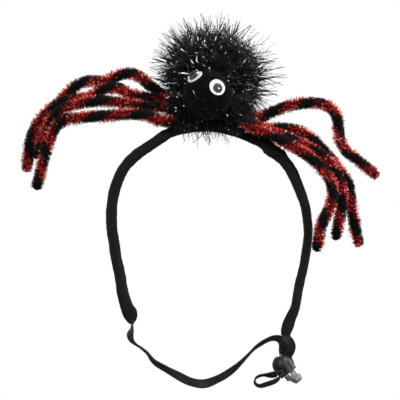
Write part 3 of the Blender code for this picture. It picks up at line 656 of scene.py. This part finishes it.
def axes_frame(origin, x_axis, z_axis):
    z_axis = z_axis.normalized()
    y_axis = z_axis.cross(x_axis).normalized()
    x_axis = y_axis.cross(z_axis)
    placed = Matrix((x_axis, y_axis, z_axis)).transposed().to_4x4()
    placed.translation = origin
    return placed


def band_ends():
    return [
        Vector((row[0] * BAND_HALF_SPAN, 0, BAND_WIDTH / 2 - row[1] * BAND_HEIGHT))
        for row in (BAND_ROUTE[0], BAND_ROUTE[-1])
    ]


def make_headband(finish):
    """The padded cloth tube, with drag wrinkles, a fold on its right shoulder and a seam inside."""
    sections, sides = 460, 40
    rows = [
        (across * BAND_HALF_SPAN, 0.0, BAND_WIDTH / 2 - down * BAND_HEIGHT, width, depth)
        for across, down, width, depth in BAND_ROUTE
    ]
    stations = smooth_route(rows, sections)
    places = stations[:, :3]
    along = travelled(places)[:, None]
    ahead = ahead_of(places)
    ahead[0] = (0, 0, 1)
    ahead[-1] = (0, 0, -1)
    outward = unit(np.cross((0, 1, 0), ahead))
    around = np.arange(sides)[None] / sides
    angle = math.tau * around
    girth = math.pi * BAND_WIDTH
    padded = stations[:, 4:5].clip(0.2, 1)
    relief = DRAG_WRINKLES * ripple(along, around, 3, 0.010, 0.030)
    relief += SMALL_WRINKLES * ripple(along, around, 4, 0.003, 0.009)
    fold = along[np.argmax(stations[:, 3] * (places[:, 0] > 0.03))]
    line = along - fold - FOLD_SHIFT + FOLD_LEAN * np.cos(angle)
    relief += FOLD_RISE * np.exp(-(line / FOLD_LENGTH) ** 2)
    for offset, lean, sunk in FOLD_CREASES:
        line = along - fold - offset - lean * np.cos(angle)
        relief -= sunk * np.exp(-(line / CREASE_WIDTH) ** 2)
    for end in (along[0], along[-1]):
        reach = np.abs(along - end)
        pleats = np.cos(math.tau * reach / GATHER_PITCH + 6 * angle)
        relief += GATHER_RISE * np.exp(-(reach / GATHER_LENGTH) ** 2) * pleats
    line = (around - 0.5 + 0.02 * ripple(along, 0 * around, 6, 0.04, 0.12)) * girth
    relief = (relief - SEAM_DEPTH * np.exp(-(line / SEAM_WIDTH) ** 2)) * padded
    half_width = stations[:, 3:4] * BAND_WIDTH / 2 + relief
    half_depth = stations[:, 4:5] * BAND_DEPTH / 2 + relief
    rings = (
        places[:, None]
        + outward[:, None] * (half_width * np.cos(angle))[..., None]
        + np.array((0, 1, 0)) * (half_depth * np.sin(angle))[..., None]
    )
    return skin("headband_cloth", rings, along[:, 0], girth, finish)


def strap_stations(count):
    left_end, right_end = band_ends()
    placed = lock_frame()
    centre = placed.to_translation()
    half_stack = STRAP_THICKNESS / 2 + STRAP_GAP
    rows = []

    def approach(entries):
        for behind, aside, on, settled, width in entries:
            rows.append((*(placed @ (Vector((behind, aside, on)) * LOCK_RADIUS)), 0, width, settled))

    def go_through(height, way):
        for share in (way, way / 2, 0.0, -way / 2, -way):
            point = placed @ Vector((share * LOCK_RADIUS * 1.1, 0, height))
            rows.append((*point, 0, STRAP_GATHER, 1))

    for across, down, back, turn, width in CHIN_RUN:
        place_x = left_end.x + across * (right_end.x - left_end.x)
        rows.append((place_x, back * STRAP_WIDTH, left_end.z - down * STRAP_DROP, turn, width, 0))
    approach(FIRST_ENTRY)
    go_through(LOCK_HOLE_HEIGHT + half_stack, 1)
    for left, down, front, turn, width, settled in SLACK_LOOP:
        rows.append((*(centre + Vector((-left, -front, -down)) * LOOP_LENGTH), turn, width, settled))
    go_through(LOCK_HOLE_HEIGHT - half_stack, -1)
    approach(reversed(SECOND_ENTRY))
    for across, down, back, turn, width in RETURN_RUN:
        point = right_end + Vector((across, 0, -down)) * LOCK_BELOW_END
        rows.append((point.x, back * STRAP_WIDTH, point.z, turn, width, 0))
    hole_width = placed.to_3x3() @ Vector((0, 1, 0))
    full, before = [], None
    for row, along in zip(rows, ahead_of(np.array([row[:3] for row in rows]))):
        along, settled = Vector(along), row[5]
        flat, turn = Vector((0, 1, 0)).cross(along).normalized(), math.radians(row[3])
        direction = flat * math.cos(turn) + along.cross(flat) * math.sin(turn)
        if settled:
            direction = Vector((1, 0, 0)) if row[3] == 0 else direction
            direction = direction if direction.dot(hole_width) > 0 else -direction
            direction = (direction * (1 - settled) + hole_width * settled).normalized()
        if before is not None and direction.dot(before) < 0:
            direction = -direction
        before = direction
        full.append((*row[:3], *direction, row[4]))
    return smooth_route(full, count)


def make_strap(finish):
    """The elastic, ribbed along its length, and creased lengthwise where the lock gathers it."""
    count, across = 420, STRAP_RIBS * 4 + 1
    stations = strap_stations(count)
    places = stations[:, :3]
    along = travelled(places)
    ahead = ahead_of(places)
    width = stations[:, 3:6]
    width = unit(width - ahead * np.sum(width * ahead, axis=1, keepdims=True))
    face = np.cross(ahead, width)
    share = np.linspace(-1, 1, across)
    rib = STRAP_RIB_RISE * np.cos(math.tau * STRAP_RIBS * (share + 1) / 2 + math.pi)
    edge = np.sqrt(np.clip(1 - np.abs(share) ** 10, 0.12, 1))
    gathered = np.clip((1 - stations[:, 6:7]) / (1 - STRAP_GATHER), 0, 1)
    crease = STRAP_CREASE * gathered * np.cos(math.tau * 1.5 * share)[None]
    sway = STRAP_SWAY * ripple(along[:, None], share[None] * 0.2, 8, 0.012, 0.04)
    half = STRAP_THICKNESS / 2 * edge[None]
    spread = stations[:, 6:7] * STRAP_WIDTH / 2 * share[None]
    middle = places[:, None] + width[:, None] * spread[..., None]
    front = middle + face[:, None] * (half + rib[None] + crease + sway)[..., None]
    back = middle + face[:, None] * (-half - rib[None] + crease + sway)[..., None]
    rings = np.concatenate([front, back[:, ::-1]], axis=1)
    return skin("chin_elastic", rings, along, 2 * STRAP_WIDTH, finish)


def random_directions(draw, count):
    return unit(draw.normal(size=(count, 3)))


def off_axis(draw, directions, amount):
    """Directions leaned aside by a random amount."""
    aside = np.cross(directions, draw.normal(size=directions.shape))
    return unit(directions + unit(aside) * (amount * np.sqrt(draw.random(len(directions))))[:, None])


def off_head(points):
    """Where points are clear of the head."""
    return np.linalg.norm(points - np.array(HEAD_CENTRE), axis=1) > HEAD_REACH - 0.001


def rough_ball(name, centre, radius, relief, finish, seed):
    """The matted ball that the strands stand on."""
    ball = add_solid(
        name, bpy.ops.mesh.primitive_ico_sphere_add, subdivisions=5, radius=radius, location=centre
    )
    points = np.array([vertex.co for vertex in ball.data.vertices])
    outward = unit(points - np.array(centre))
    lumps = np.zeros(len(points))
    draw = np.random.default_rng(seed)
    waves = 60
    for _ in range(waves):
        lumps += np.cos(outward @ draw.normal(size=3) * draw.uniform(6, 22) + draw.random() * math.tau)
    points += outward * (relief * lumps / math.sqrt(waves))[:, None]
    ball.data.vertices.foreach_set("co", points.ravel())
    ball.data.update()
    ball.data.shade_smooth()
    ball.data.materials.append(finish)
    return ball


def make_body(tinsel, pile):
    """The tinsel pompom: cut strips of mostly one length, longer ones, and tufts that fan out."""
    draw = np.random.default_rng(11)
    centre = np.array(BODY_CENTRE) + BODY_SHIFT
    start = BODY_CORE_RADIUS * 0.93
    roots, headings, lengths, widths = [], [], [], []
    for count, nearest, farthest, disorder, broad in BODY_LAYERS:
        outward = random_directions(draw, count)
        heading = off_axis(draw, outward, disorder)
        reach = BODY_REACH * draw.uniform(nearest, farthest, count)
        cosine = np.sum(heading * outward, axis=1)
        roots.append(centre + outward * start)
        headings.append(heading)
        lengths.append(np.sqrt(reach ** 2 - start ** 2 * (1 - cosine ** 2)) - start * cosine)
        widths.append(draw.uniform(*STRIP_WIDTHS, count) * broad)
    for degrees, spread, reach, count in TUFTS:
        turn = np.radians(degrees + spread * draw.normal(size=count))
        tilt = np.radians(draw.normal(-5, 14, count))
        level = np.cos(tilt)
        outward = np.stack([np.cos(turn) * level, np.sin(tilt), np.sin(turn) * level], axis=1)
        middle = np.radians(degrees + draw.normal(0, 3, count))
        spot = np.stack([np.cos(middle), np.full(count, -0.08), np.sin(middle)], axis=1)
        root = centre + spot * BODY_REACH * 0.85
        tip = centre + outward * (reach * draw.uniform(0.72, 1.0, count))[:, None]
        roots.append(root)
        headings.append(unit(tip - root))
        lengths.append(np.linalg.norm(tip - root, axis=1))
        widths.append(draw.uniform(*TUFT_WIDTHS, count))
    roots, headings, widths = (np.concatenate(parts) for parts in (roots, headings, widths))
    tips = roots + headings * np.concatenate(lengths)[:, None]
    keep = off_head(tips) & off_head((roots + tips) / 2)
    keep &= (tips[:, 2] > BAND_CLEAR) | (np.abs(tips[:, 1]) > 0.007)
    roots, tips, widths = roots[keep], tips[keep], widths[keep]
    # About three in a hundred body strips carry a painted glint
    hair = strands("body_tinsel", roots, tips, widths, tinsel, 12, steps=2, bow=0.07, glinting=0.03)
    core = rough_ball("body_core", BODY_CENTRE, BODY_CORE_RADIUS, 0.0007, pile, 13)
    return join("spider_body_tinsel", hair, core)


def make_fringe(tinsel, pile):
    """Tinsel that isn't part of the round pompom.

    It covers the roots of the legs, hangs in front of the band and lies over the head.
    """
    draw = np.random.default_rng(21)
    hanging, lying = 120, 90
    mats = [
        rough_ball("matted_tinsel_" + str(number), centre, radius, 0.0009, pile, 25 + number)
        for number, (*centre, radius) in enumerate(SKIRT_MATS)
    ]
    roots = [np.stack([
        draw.normal(0.0, 0.012, hanging), draw.uniform(-0.0125, -0.006, hanging),
        draw.uniform(0.003, 0.012, hanging),
    ], axis=1)]
    heading = off_axis(draw, np.tile((0.0, -0.2, -1.0), (hanging, 1)), 0.9)
    tips = [roots[0] + heading * draw.uniform(*FRINGE_LENGTHS, hanging)[:, None]]
    outward = random_directions(draw, lying)
    outward[:, 1] = -np.abs(outward[:, 1])
    eyes = [np.array(facing) for facing in EYE_FACING.values()]
    outward = outward[np.all([outward @ facing < 0.62 for facing in eyes], axis=0)]
    over = np.array(HEAD_CENTRE) + outward * HEAD_REACH
    along = unit(np.cross(outward, draw.normal(size=outward.shape)))
    reach = draw.uniform(0.002, 0.007, len(over))[:, None]
    roots.append(over - along * reach)
    tips.append(over + along * reach + outward * 0.0005)
    for *centre, radius in SKIRT_MATS:
        outward = random_directions(draw, MAT_STRIPS)
        root = np.array(centre) + outward * radius * 0.94
        tip = root + off_axis(draw, outward, 1.0) * draw.uniform(*MAT_LENGTHS, MAT_STRIPS)[:, None]
        clear = off_head(tip) & ((tip[:, 2] > BAND_CLEAR) | (tip[:, 1] < -0.0065))
        roots.append(root[clear])
        tips.append(tip[clear])
    roots, tips = np.concatenate(roots), np.concatenate(tips)
    widths = draw.uniform(*FRINGE_WIDTHS, len(roots))
    # About one in forty loose strips carries a painted glint
    hair = strands("loose_strips", roots, tips, widths, tinsel, 22, steps=2, bow=0.1, glinting=0.025)
    return join("loose_tinsel", hair, *mats)


def make_head(yarn, pile):
    """The small pompom of soft cut yarn."""
    draw = np.random.default_rng(31)
    count = YARN_STRANDS
    centre = np.array(HEAD_CENTRE)
    outward = random_directions(draw, count)
    heading = off_axis(draw, outward, 1.1)
    roots = centre + outward * (HEAD_CORE_RADIUS * 0.95)
    reach = draw.uniform(*YARN_LENGTHS, count) + draw.random(count) ** 12 * 0.003
    tips = roots + heading * reach[:, None]
    for facing in map(np.array, EYE_FACING.values()):
        seat = centre + facing * HEAD_SEAT_RADIUS
        for point in (tips.copy(), (roots + tips) / 2):
            above = (point - seat) @ facing
            beside = np.linalg.norm(point - seat - above[:, None] * facing, axis=1)
            near = (beside < EYE_RADIUS * 1.04) & (above > -0.001)
            tips[near] = roots[near] + outward[near] * 0.0009
    widths = draw.uniform(*YARN_WIDTHS, count)
    hair = strands("head_yarn", roots, tips, widths, yarn, 32, blunt=0.4)
    core = rough_ball("head_core", HEAD_CENTRE, HEAD_CORE_RADIUS, 0.0004, pile, 33)
    return join("spider_head_yarn", hair, core)


def make_leg(name, bends, blacks, finishes, seed):
    """A twisted stem: red tinsel and black chenille wound round a wire, half a turn apart.

    The blacks are the distances from the tip at which the black strand comes to the front.
    """
    draw = np.random.default_rng(seed)
    outward_x = -1 if name.startswith("left") else 1
    rows = [
        (LEG_HUB.x + outward_x * out * LEG_REACH, back * LEG_PITCH, LEG_HUB.z + up * LEG_REACH)
        for out, up, back in bends
    ]
    places = smooth_route(rows, 260)
    along = travelled(places)
    ahead = ahead_of(places)
    side = unit(np.cross(ahead, (0, 1, 0)))
    other = np.cross(ahead, side)
    length = along[-1]
    blacks = [blacks[0] - LEG_BAND_LENGTH, *blacks, *(blacks[-1] + LEG_BAND_LENGTH * np.arange(1, 4))]
    tinsel, chenille, red_pile_painted_shade, black_pile = finishes

    def at(where, table):
        return np.stack([np.interp(where, along, column) for column in table.T], axis=1)

    def blackness(where, angle):
        turns = np.interp(length - where, blacks, np.arange(len(blacks)))
        return np.cos(angle - math.pi / 2 - math.tau * turns)

    def fibres(part, density, side_of, reaches, thickness, finish, glinting):
        """Fibres on the part of the stem where one of the two strands shows, and over its end."""
        count = int(density * length)
        endings = count // 20
        where = np.concatenate([draw.uniform(0.0004, length, count), np.full(endings, length)])
        angle = draw.uniform(0, math.tau, len(where))
        ending = np.arange(len(where)) >= count
        showing = np.where(ending, math.pi / 2, angle)
        kept = side_of * (blackness(where, showing) + draw.normal(0, 0.12, len(where))) > 0
        where, angle, ending = where[kept], angle[kept], ending[kept][:, None]
        onward = at(where, ahead)
        radial = at(where, side) * np.cos(angle)[:, None] + at(where, other) * np.sin(angle)[:, None]
        lean = onward * draw.normal(0, 0.36, (len(where), 1))
        swirl = np.cross(onward, radial) * draw.normal(0.2, 0.35, (len(where), 1))
        rounding = (1 - 0.3 * np.exp((where - length) / 0.0015))[:, None]
        reach = draw.uniform(*reaches, (len(where), 1)) * rounding
        outer = draw.uniform(0.1, 0.95, (len(where), 1))
        crown = (1 - outer ** 2) * draw.uniform(0.0006, 0.0020, (len(where), 1))
        over_end = radial * outer * reach + onward * crown
        tips = at(where, places) + np.where(ending, over_end, unit(radial + lean + swirl) * reach)
        roots = at(where, places) + np.where(ending, radial * 0.0006 - onward * 0.002, radial * 0.0012)
        widths = draw.uniform(*thickness, len(where))
        return strands(name + part, roots, tips, widths, finish, seed, glinting=glinting)

    # A tenth of the red tinsel carries a painted glint; the chenille carries none
    red = fibres("_tinsel", RED_PER_METRE, -1, RED_REACH, RED_WIDTHS, tinsel, 0.1)
    black = fibres("_chenille", BLACK_PER_METRE, 1, BLACK_REACH, BLACK_WIDTHS, chenille, 0)
    sides = 12
    turn = (math.tau * np.arange(sides) / sides)[None, :, None]
    thinned = slice(2, None, 3)
    spokes = side[thinned, None] * np.cos(turn) + other[thinned, None] * np.sin(turn)
    rings = places[thinned, None] + LEG_CORE_RADIUS * spokes
    # The core shows between the fibres; its red faces are its own dark red, made darker than the red
    # tinsel as painted shade for the gaps
    core = skin(name + "_core", rings, along[thinned], math.tau * LEG_CORE_RADIUS, red_pile_painted_shade)
    core.data.materials.append(black_pile)
    middles = np.array([face.center for face in core.data.polygons])
    nearest = np.argmin(np.linalg.norm(middles[:, None] - places[None, ::3], axis=2), axis=1) * 3
    spoke = middles - places[nearest]
    angle = np.arctan2(np.sum(spoke * other[nearest], axis=1), np.sum(spoke * side[nearest], axis=1))
    core.data.polygons.foreach_set("material_index", (blackness(along[nearest], angle) > 0).astype(int))
    return join(name + "_stem", red, black, core)


def edit_all():
    bpy.ops.object.mode_set(mode="EDIT")
    bpy.ops.mesh.select_all(action="SELECT")


def pick(piece, kind, test):
    """Selects only the edges or faces that pass the test, in edit mode."""
    bpy.ops.mesh.select_mode(type=kind)
    bpy.ops.mesh.select_all(action="DESELECT")
    shape = bmesh.from_edit_mesh(piece.data)
    for item in {"EDGE": shape.edges, "FACE": shape.faces}[kind]:
        item.select_set(bool(test(item)))
    bmesh.update_edit_mesh(piece.data)


def extrude(distance):
    bpy.ops.mesh.extrude_region_move(TRANSFORM_OT_translate={"value": (0, 0, distance)})


def widen(factor, height):
    """Scales what is selected about the axis, at one height."""
    bpy.ops.transform.resize(value=(factor, factor, 1), center_override=(0, 0, height))


def modify(piece, kind, **settings):
    """Puts one modifier on a piece and applies it."""
    modifier = piece.modifiers.new(kind.lower(), kind)
    for name, value in settings.items():
        setattr(modifier, name, value)
    choose(piece)
    bpy.ops.object.modifier_apply(modifier=modifier.name)


def finished(piece, placed, finish):
    """Puts a piece modelled about the origin in its place, and gives it its finish and shading."""
    choose(piece)
    piece.matrix_world = placed
    apply_place()
    piece.data.materials.append(finish)
    bpy.ops.object.shade_smooth_by_angle(angle=math.radians(50))
    return piece


def soften(piece, width, segments):
    """Rounds the sharp edges."""
    angle = math.radians(35)
    modify(piece, "BEVEL", width=width, segments=segments, limit_method="ANGLE", angle_limit=angle)


def cut_away(piece, cutter):
    modify(piece, "BOOLEAN", operation="DIFFERENCE", object=cutter)
    bpy.data.objects.remove(cutter, do_unlink=True)


def make_barrel(finish):
    """The cord lock's round barrel, with a soft shoulder, a rim, a bore and the strap's hole."""
    barrel = add_solid(
        "lock_barrel_shell", bpy.ops.mesh.primitive_uv_sphere_add, segments=96, ring_count=64,
        radius=LOCK_RADIUS,
    )
    edit_all()
    shoulder = LOCK_RADIUS * math.sin(LOCK_SHOULDER)
    bpy.ops.mesh.bisect(plane_co=(0, 0, shoulder), plane_no=(0, 0, 1), clear_outer=True)
    pick(barrel, "EDGE", lambda edge: edge.is_boundary)
    extrude(LOCK_RIM_HEIGHT - shoulder)
    widen(LOCK_RIM_RADIUS / (LOCK_RADIUS * math.cos(LOCK_SHOULDER)), LOCK_RIM_HEIGHT)
    bpy.ops.mesh.edge_face_add()
    bpy.ops.mesh.inset(thickness=LOCK_RIM_RADIUS - STEM_RADIUS - LOCK_PLAY)
    extrude(LOCK_BORE_FLOOR - LOCK_RIM_HEIGHT)
    hole = add_solid(
        "strap_hole", bpy.ops.mesh.primitive_cylinder_add, vertices=48, radius=1, depth=3 * LOCK_RADIUS,
        rotation=(0, math.pi / 2, 0),
    )
    hole.scale = (1, LOCK_HOLE_WIDTH / 2, LOCK_HOLE_LENGTH / 2)
    hole.location = (0, 0, LOCK_HOLE_HEIGHT)
    apply_place()
    cut_away(barrel, hole)
    soften(barrel, 0.0005, 4)
    return finished(barrel, lock_frame(), finish)


def make_plunger(finish):
    """The plunger: a slotted stem and a button whose thumb notch leaves it two lobes."""
    plunger = add_solid(
        "lock_plunger_button", bpy.ops.mesh.primitive_cylinder_add, vertices=64, radius=STEM_RADIUS,
        depth=BUTTON_START + STEM_FOOT, location=(0, 0, (BUTTON_START - STEM_FOOT) / 2),
    )
    edit_all()
    pick(plunger, "FACE", lambda face: face.calc_center_median().z > BUTTON_START - 1e-5)
    extrude(BUTTON_FLARE)
    widen(BUTTON_RADIUS / STEM_RADIUS, BUTTON_START)
    extrude(BUTTON_END - BUTTON_START - BUTTON_FLARE - BUTTON_TAPER)
    extrude(BUTTON_TAPER)
    widen(BUTTON_NARROWING, BUTTON_END)
    window = add_solid(
        "stem_window", bpy.ops.mesh.primitive_cube_add, size=1,
        location=(0, 0, (WINDOW_LOW + WINDOW_HIGH) / 2),
        scale=(0.03, STEM_WINDOW, WINDOW_HIGH - WINDOW_LOW),
    )
    cut_away(plunger, window)
    for lean in (25, -22):
        notch = add_solid("thumb_notch", bpy.ops.mesh.primitive_cube_add, size=NOTCH_SIZE)
        notch.matrix_world = (
            Matrix.Rotation(LOCK_ROLL - math.radians(15), 4, "Z")
            @ Matrix.Translation((-0.0015, 0, BUTTON_START + 0.0008))
            @ Matrix.Rotation(math.radians(lean), 4, "Y")
            @ Matrix.Translation((-NOTCH_SIZE / 2, 0, NOTCH_SIZE / 2))
        )
        apply_place()
        cut_away(plunger, notch)
    soften(plunger, 0.0006, 4)
    return finished(plunger, lock_frame(), finish)


def eye_frame(facing):
    downhill = (Vector((0, 0, -1)) + facing * facing.z).normalized()
    return axes_frame(HEAD_CENTRE + facing * HEAD_SEAT_RADIUS, downhill, facing)


def make_eye(side, white, black, clear):
    """A wiggle eye: a white back with a rolled rim, a loose pupil and a clear dome with a flange."""
    placed = eye_frame(EYE_FACING[side])
    back = add_solid(
        side + "_eye_card", bpy.ops.mesh.primitive_cylinder_add, vertices=64, radius=EYE_RADIUS,
        depth=EYE_BACK_THICKNESS, location=(0, 0, EYE_BACK_THICKNESS / 2),
    )
    edit_all()
    pick(back, "FACE", lambda face: face.normal.z > 0.9)
    bpy.ops.mesh.inset(thickness=EYE_RIM_WIDTH)
    extrude(-EYE_RIM_RISE)
    soften(back, 0.00015, 2)
    finished(back, placed, white)

    pupil = add_solid(
        side + "_eye_pupil_disc", bpy.ops.mesh.primitive_cylinder_add, vertices=48, radius=PUPIL_RADIUS,
        depth=PUPIL_THICKNESS, location=(PUPIL_DROP, 0, EYE_BACK_THICKNESS + PUPIL_THICKNESS),
    )
    soften(pupil, 0.00018, 3)
    finished(pupil, placed, black)

    inner = EYE_RADIUS - EYE_FLANGE
    dome = add_solid(
        side + "_eye_clear_dome", bpy.ops.mesh.primitive_uv_sphere_add, segments=64, ring_count=32,
        radius=inner,
    )
    edit_all()
    bpy.ops.mesh.bisect(plane_co=(0, 0, 0), plane_no=(0, 0, 1), clear_inner=True)
    edit_all()
    bpy.ops.transform.resize(value=(1, 1, EYE_DOME_HEIGHT / inner))
    pick(dome, "EDGE", lambda edge: edge.is_boundary)
    extrude(0)
    bpy.ops.transform.resize(value=(EYE_RADIUS / inner, EYE_RADIUS / inner, 1))
    edit_all()
    bpy.ops.transform.translate(value=(0, 0, EYE_BACK_THICKNESS + DOME_LIFT))
    modify(dome, "SOLIDIFY", thickness=DOME_WALL, offset=-1)
    finished(dome, placed, clear)
    return back, pupil, dome


def make_stage():
    """A seamless pale studio: a round room with a flat floor, evenly bright, far behind the object."""
    room = add_solid(
        "studio_room", bpy.ops.mesh.primitive_uv_sphere_add, segments=64, ring_count=32,
        radius=ROOM_RADIUS,
    )
    for vertex in room.data.vertices:
        vertex.co.z = max(vertex.co.z, ROOM_FLOOR)
    room.data.shade_smooth()
    paper = Finish(
        "pale_paper", (0, 0, 0), 0.5, Specular_IOR_Level=0, Emission_Color=(1, 1, 1, 1),
        Emission_Strength=1,
    )
    room.data.materials.append(paper.material)
    for ray in ("diffuse", "glossy", "transmission", "shadow"):
        setattr(room, "visible_" + ray, False)


def add_light(name, place, size, power):
    """A soft box that faces the headband."""
    lamp = bpy.data.lights.new(name, "AREA")
    lamp.shape = "RECTANGLE"
    lamp.size, lamp.size_y = size
    lamp.energy = power
    light = new_object(name, lamp)
    light.location = place
    light.rotation_euler = (-Vector(place)).to_track_quat("-Z", "Y").to_euler()


def make_studio():
    make_stage()
    world = bpy.data.worlds.new("studio")
    world.use_nodes = True
    sky = world.node_tree.nodes["Background"]
    sky.inputs["Color"].default_value = (1, 1, 1, 1)
    sky.inputs["Strength"].default_value = 0.28
    bpy.context.scene.world = world
    for lamp in LAMPS:
        add_light(*lamp)
    camera = new_object("camera", bpy.data.cameras.new("camera"))
    camera.location = FRAME_CENTRE + Vector((0, -CAMERA_DISTANCE, 0))
    camera.rotation_euler = (math.pi / 2, 0, 0)
    camera.data.lens = camera.data.sensor_width * CAMERA_DISTANCE / FRAME_WIDTH
    camera.data.clip_start = 0.01
    bpy.context.scene.camera = camera
    bpy.context.scene.view_settings.view_transform = "Standard"


def main():
    make_studio()
    cloth = cloth_finish()
    elastic = elastic_finish()
    # The third colour of each tinsel is its painted glint, a painted highlight that also glows
    black_tinsel = tinsel_finish(
        "black_tinsel", (0.002, 0.002, 0.002), (0.009, 0.009, 0.009), (1.0, 1.0, 1.0), 0.14, 0.0
    )
    red_tinsel = tinsel_finish(
        "red_tinsel", (0.21, 0.001, 0.001), (1.0, 0.055, 0.030), (0.6, 0.5, 0.45), 0.26, 0.7
    )
    yarn = fibre_finish("black_yarn", (0.004, 0.004, 0.004), (0.016, 0.015, 0.014))
    chenille = fibre_finish("black_chenille", (0.003, 0.003, 0.003), (0.013, 0.012, 0.011))
    pile = pile_finish("black_pile", (0.003, 0.003, 0.003), (0.010, 0.010, 0.010))
    # The red core's pile: dark red, made darker than the red tinsel as painted shade, so the gaps between
    # strands read dark
    red_pile_painted_shade = pile_finish("red_pile_painted_shade", (0.035, 0.001, 0.002), (0.12, 0.003, 0.006))
    barrel_plastic = plastic_finish(
        "dark_grey_plastic", (0.005, 0.005, 0.004), (0.009, 0.009, 0.007), 0.42, Specular_IOR_Level=0.36
    )
    plunger_plastic = plastic_finish("light_grey_plastic", (0.11, 0.11, 0.105), (0.17, 0.17, 0.165), 0.35)
    white_plastic = plastic_finish("white_plastic", (0.80, 0.80, 0.79), (0.88, 0.88, 0.87), 0.35)
    pupil_plastic = plastic_finish(
        "black_plastic", (0.014, 0.014, 0.014), (0.022, 0.022, 0.021), 0.3, Specular_IOR_Level=0.25
    )
    clear_plastic = Finish("clear_plastic", (1, 1, 1), 0.12, Alpha=0.03, Metallic=1.0).material

    band = make_headband(cloth)
    dress(band, "black_cloth", "headband")
    dress(make_strap(elastic), "black_elastic", "chin_strap")
    dress(make_barrel(barrel_plastic), "dark_grey_plastic", "lock_barrel")
    dress(make_plunger(plunger_plastic), "light_grey_plastic", "lock_plunger", body="plunger")
    dress(make_body(black_tinsel, pile), "black_tinsel", "spider_body")
    dress(make_fringe(black_tinsel, pile), "black_tinsel")
    dress(make_head(yarn, pile), "black_yarn", "spider_head")
    finishes = (red_tinsel, chenille, red_pile_painted_shade, pile)
    for number, (name, bends) in enumerate(LEG_BENDS.items()):
        leg = make_leg(name, bends, LEG_BLACKS[name], finishes, 40 + number)
        dress(leg, "red_and_black_chenille", name)
    for side in EYE_FACING:
        back, pupil, dome = make_eye(side, white_plastic, pupil_plastic, clear_plastic)
        dress(back, "white_plastic", side + "_eye_back")
        dress(pupil, "black_plastic", side + "_eye_pupil", body=side + "_pupil")
        dress(dome, "clear_plastic", side + "_eye_dome")


main()
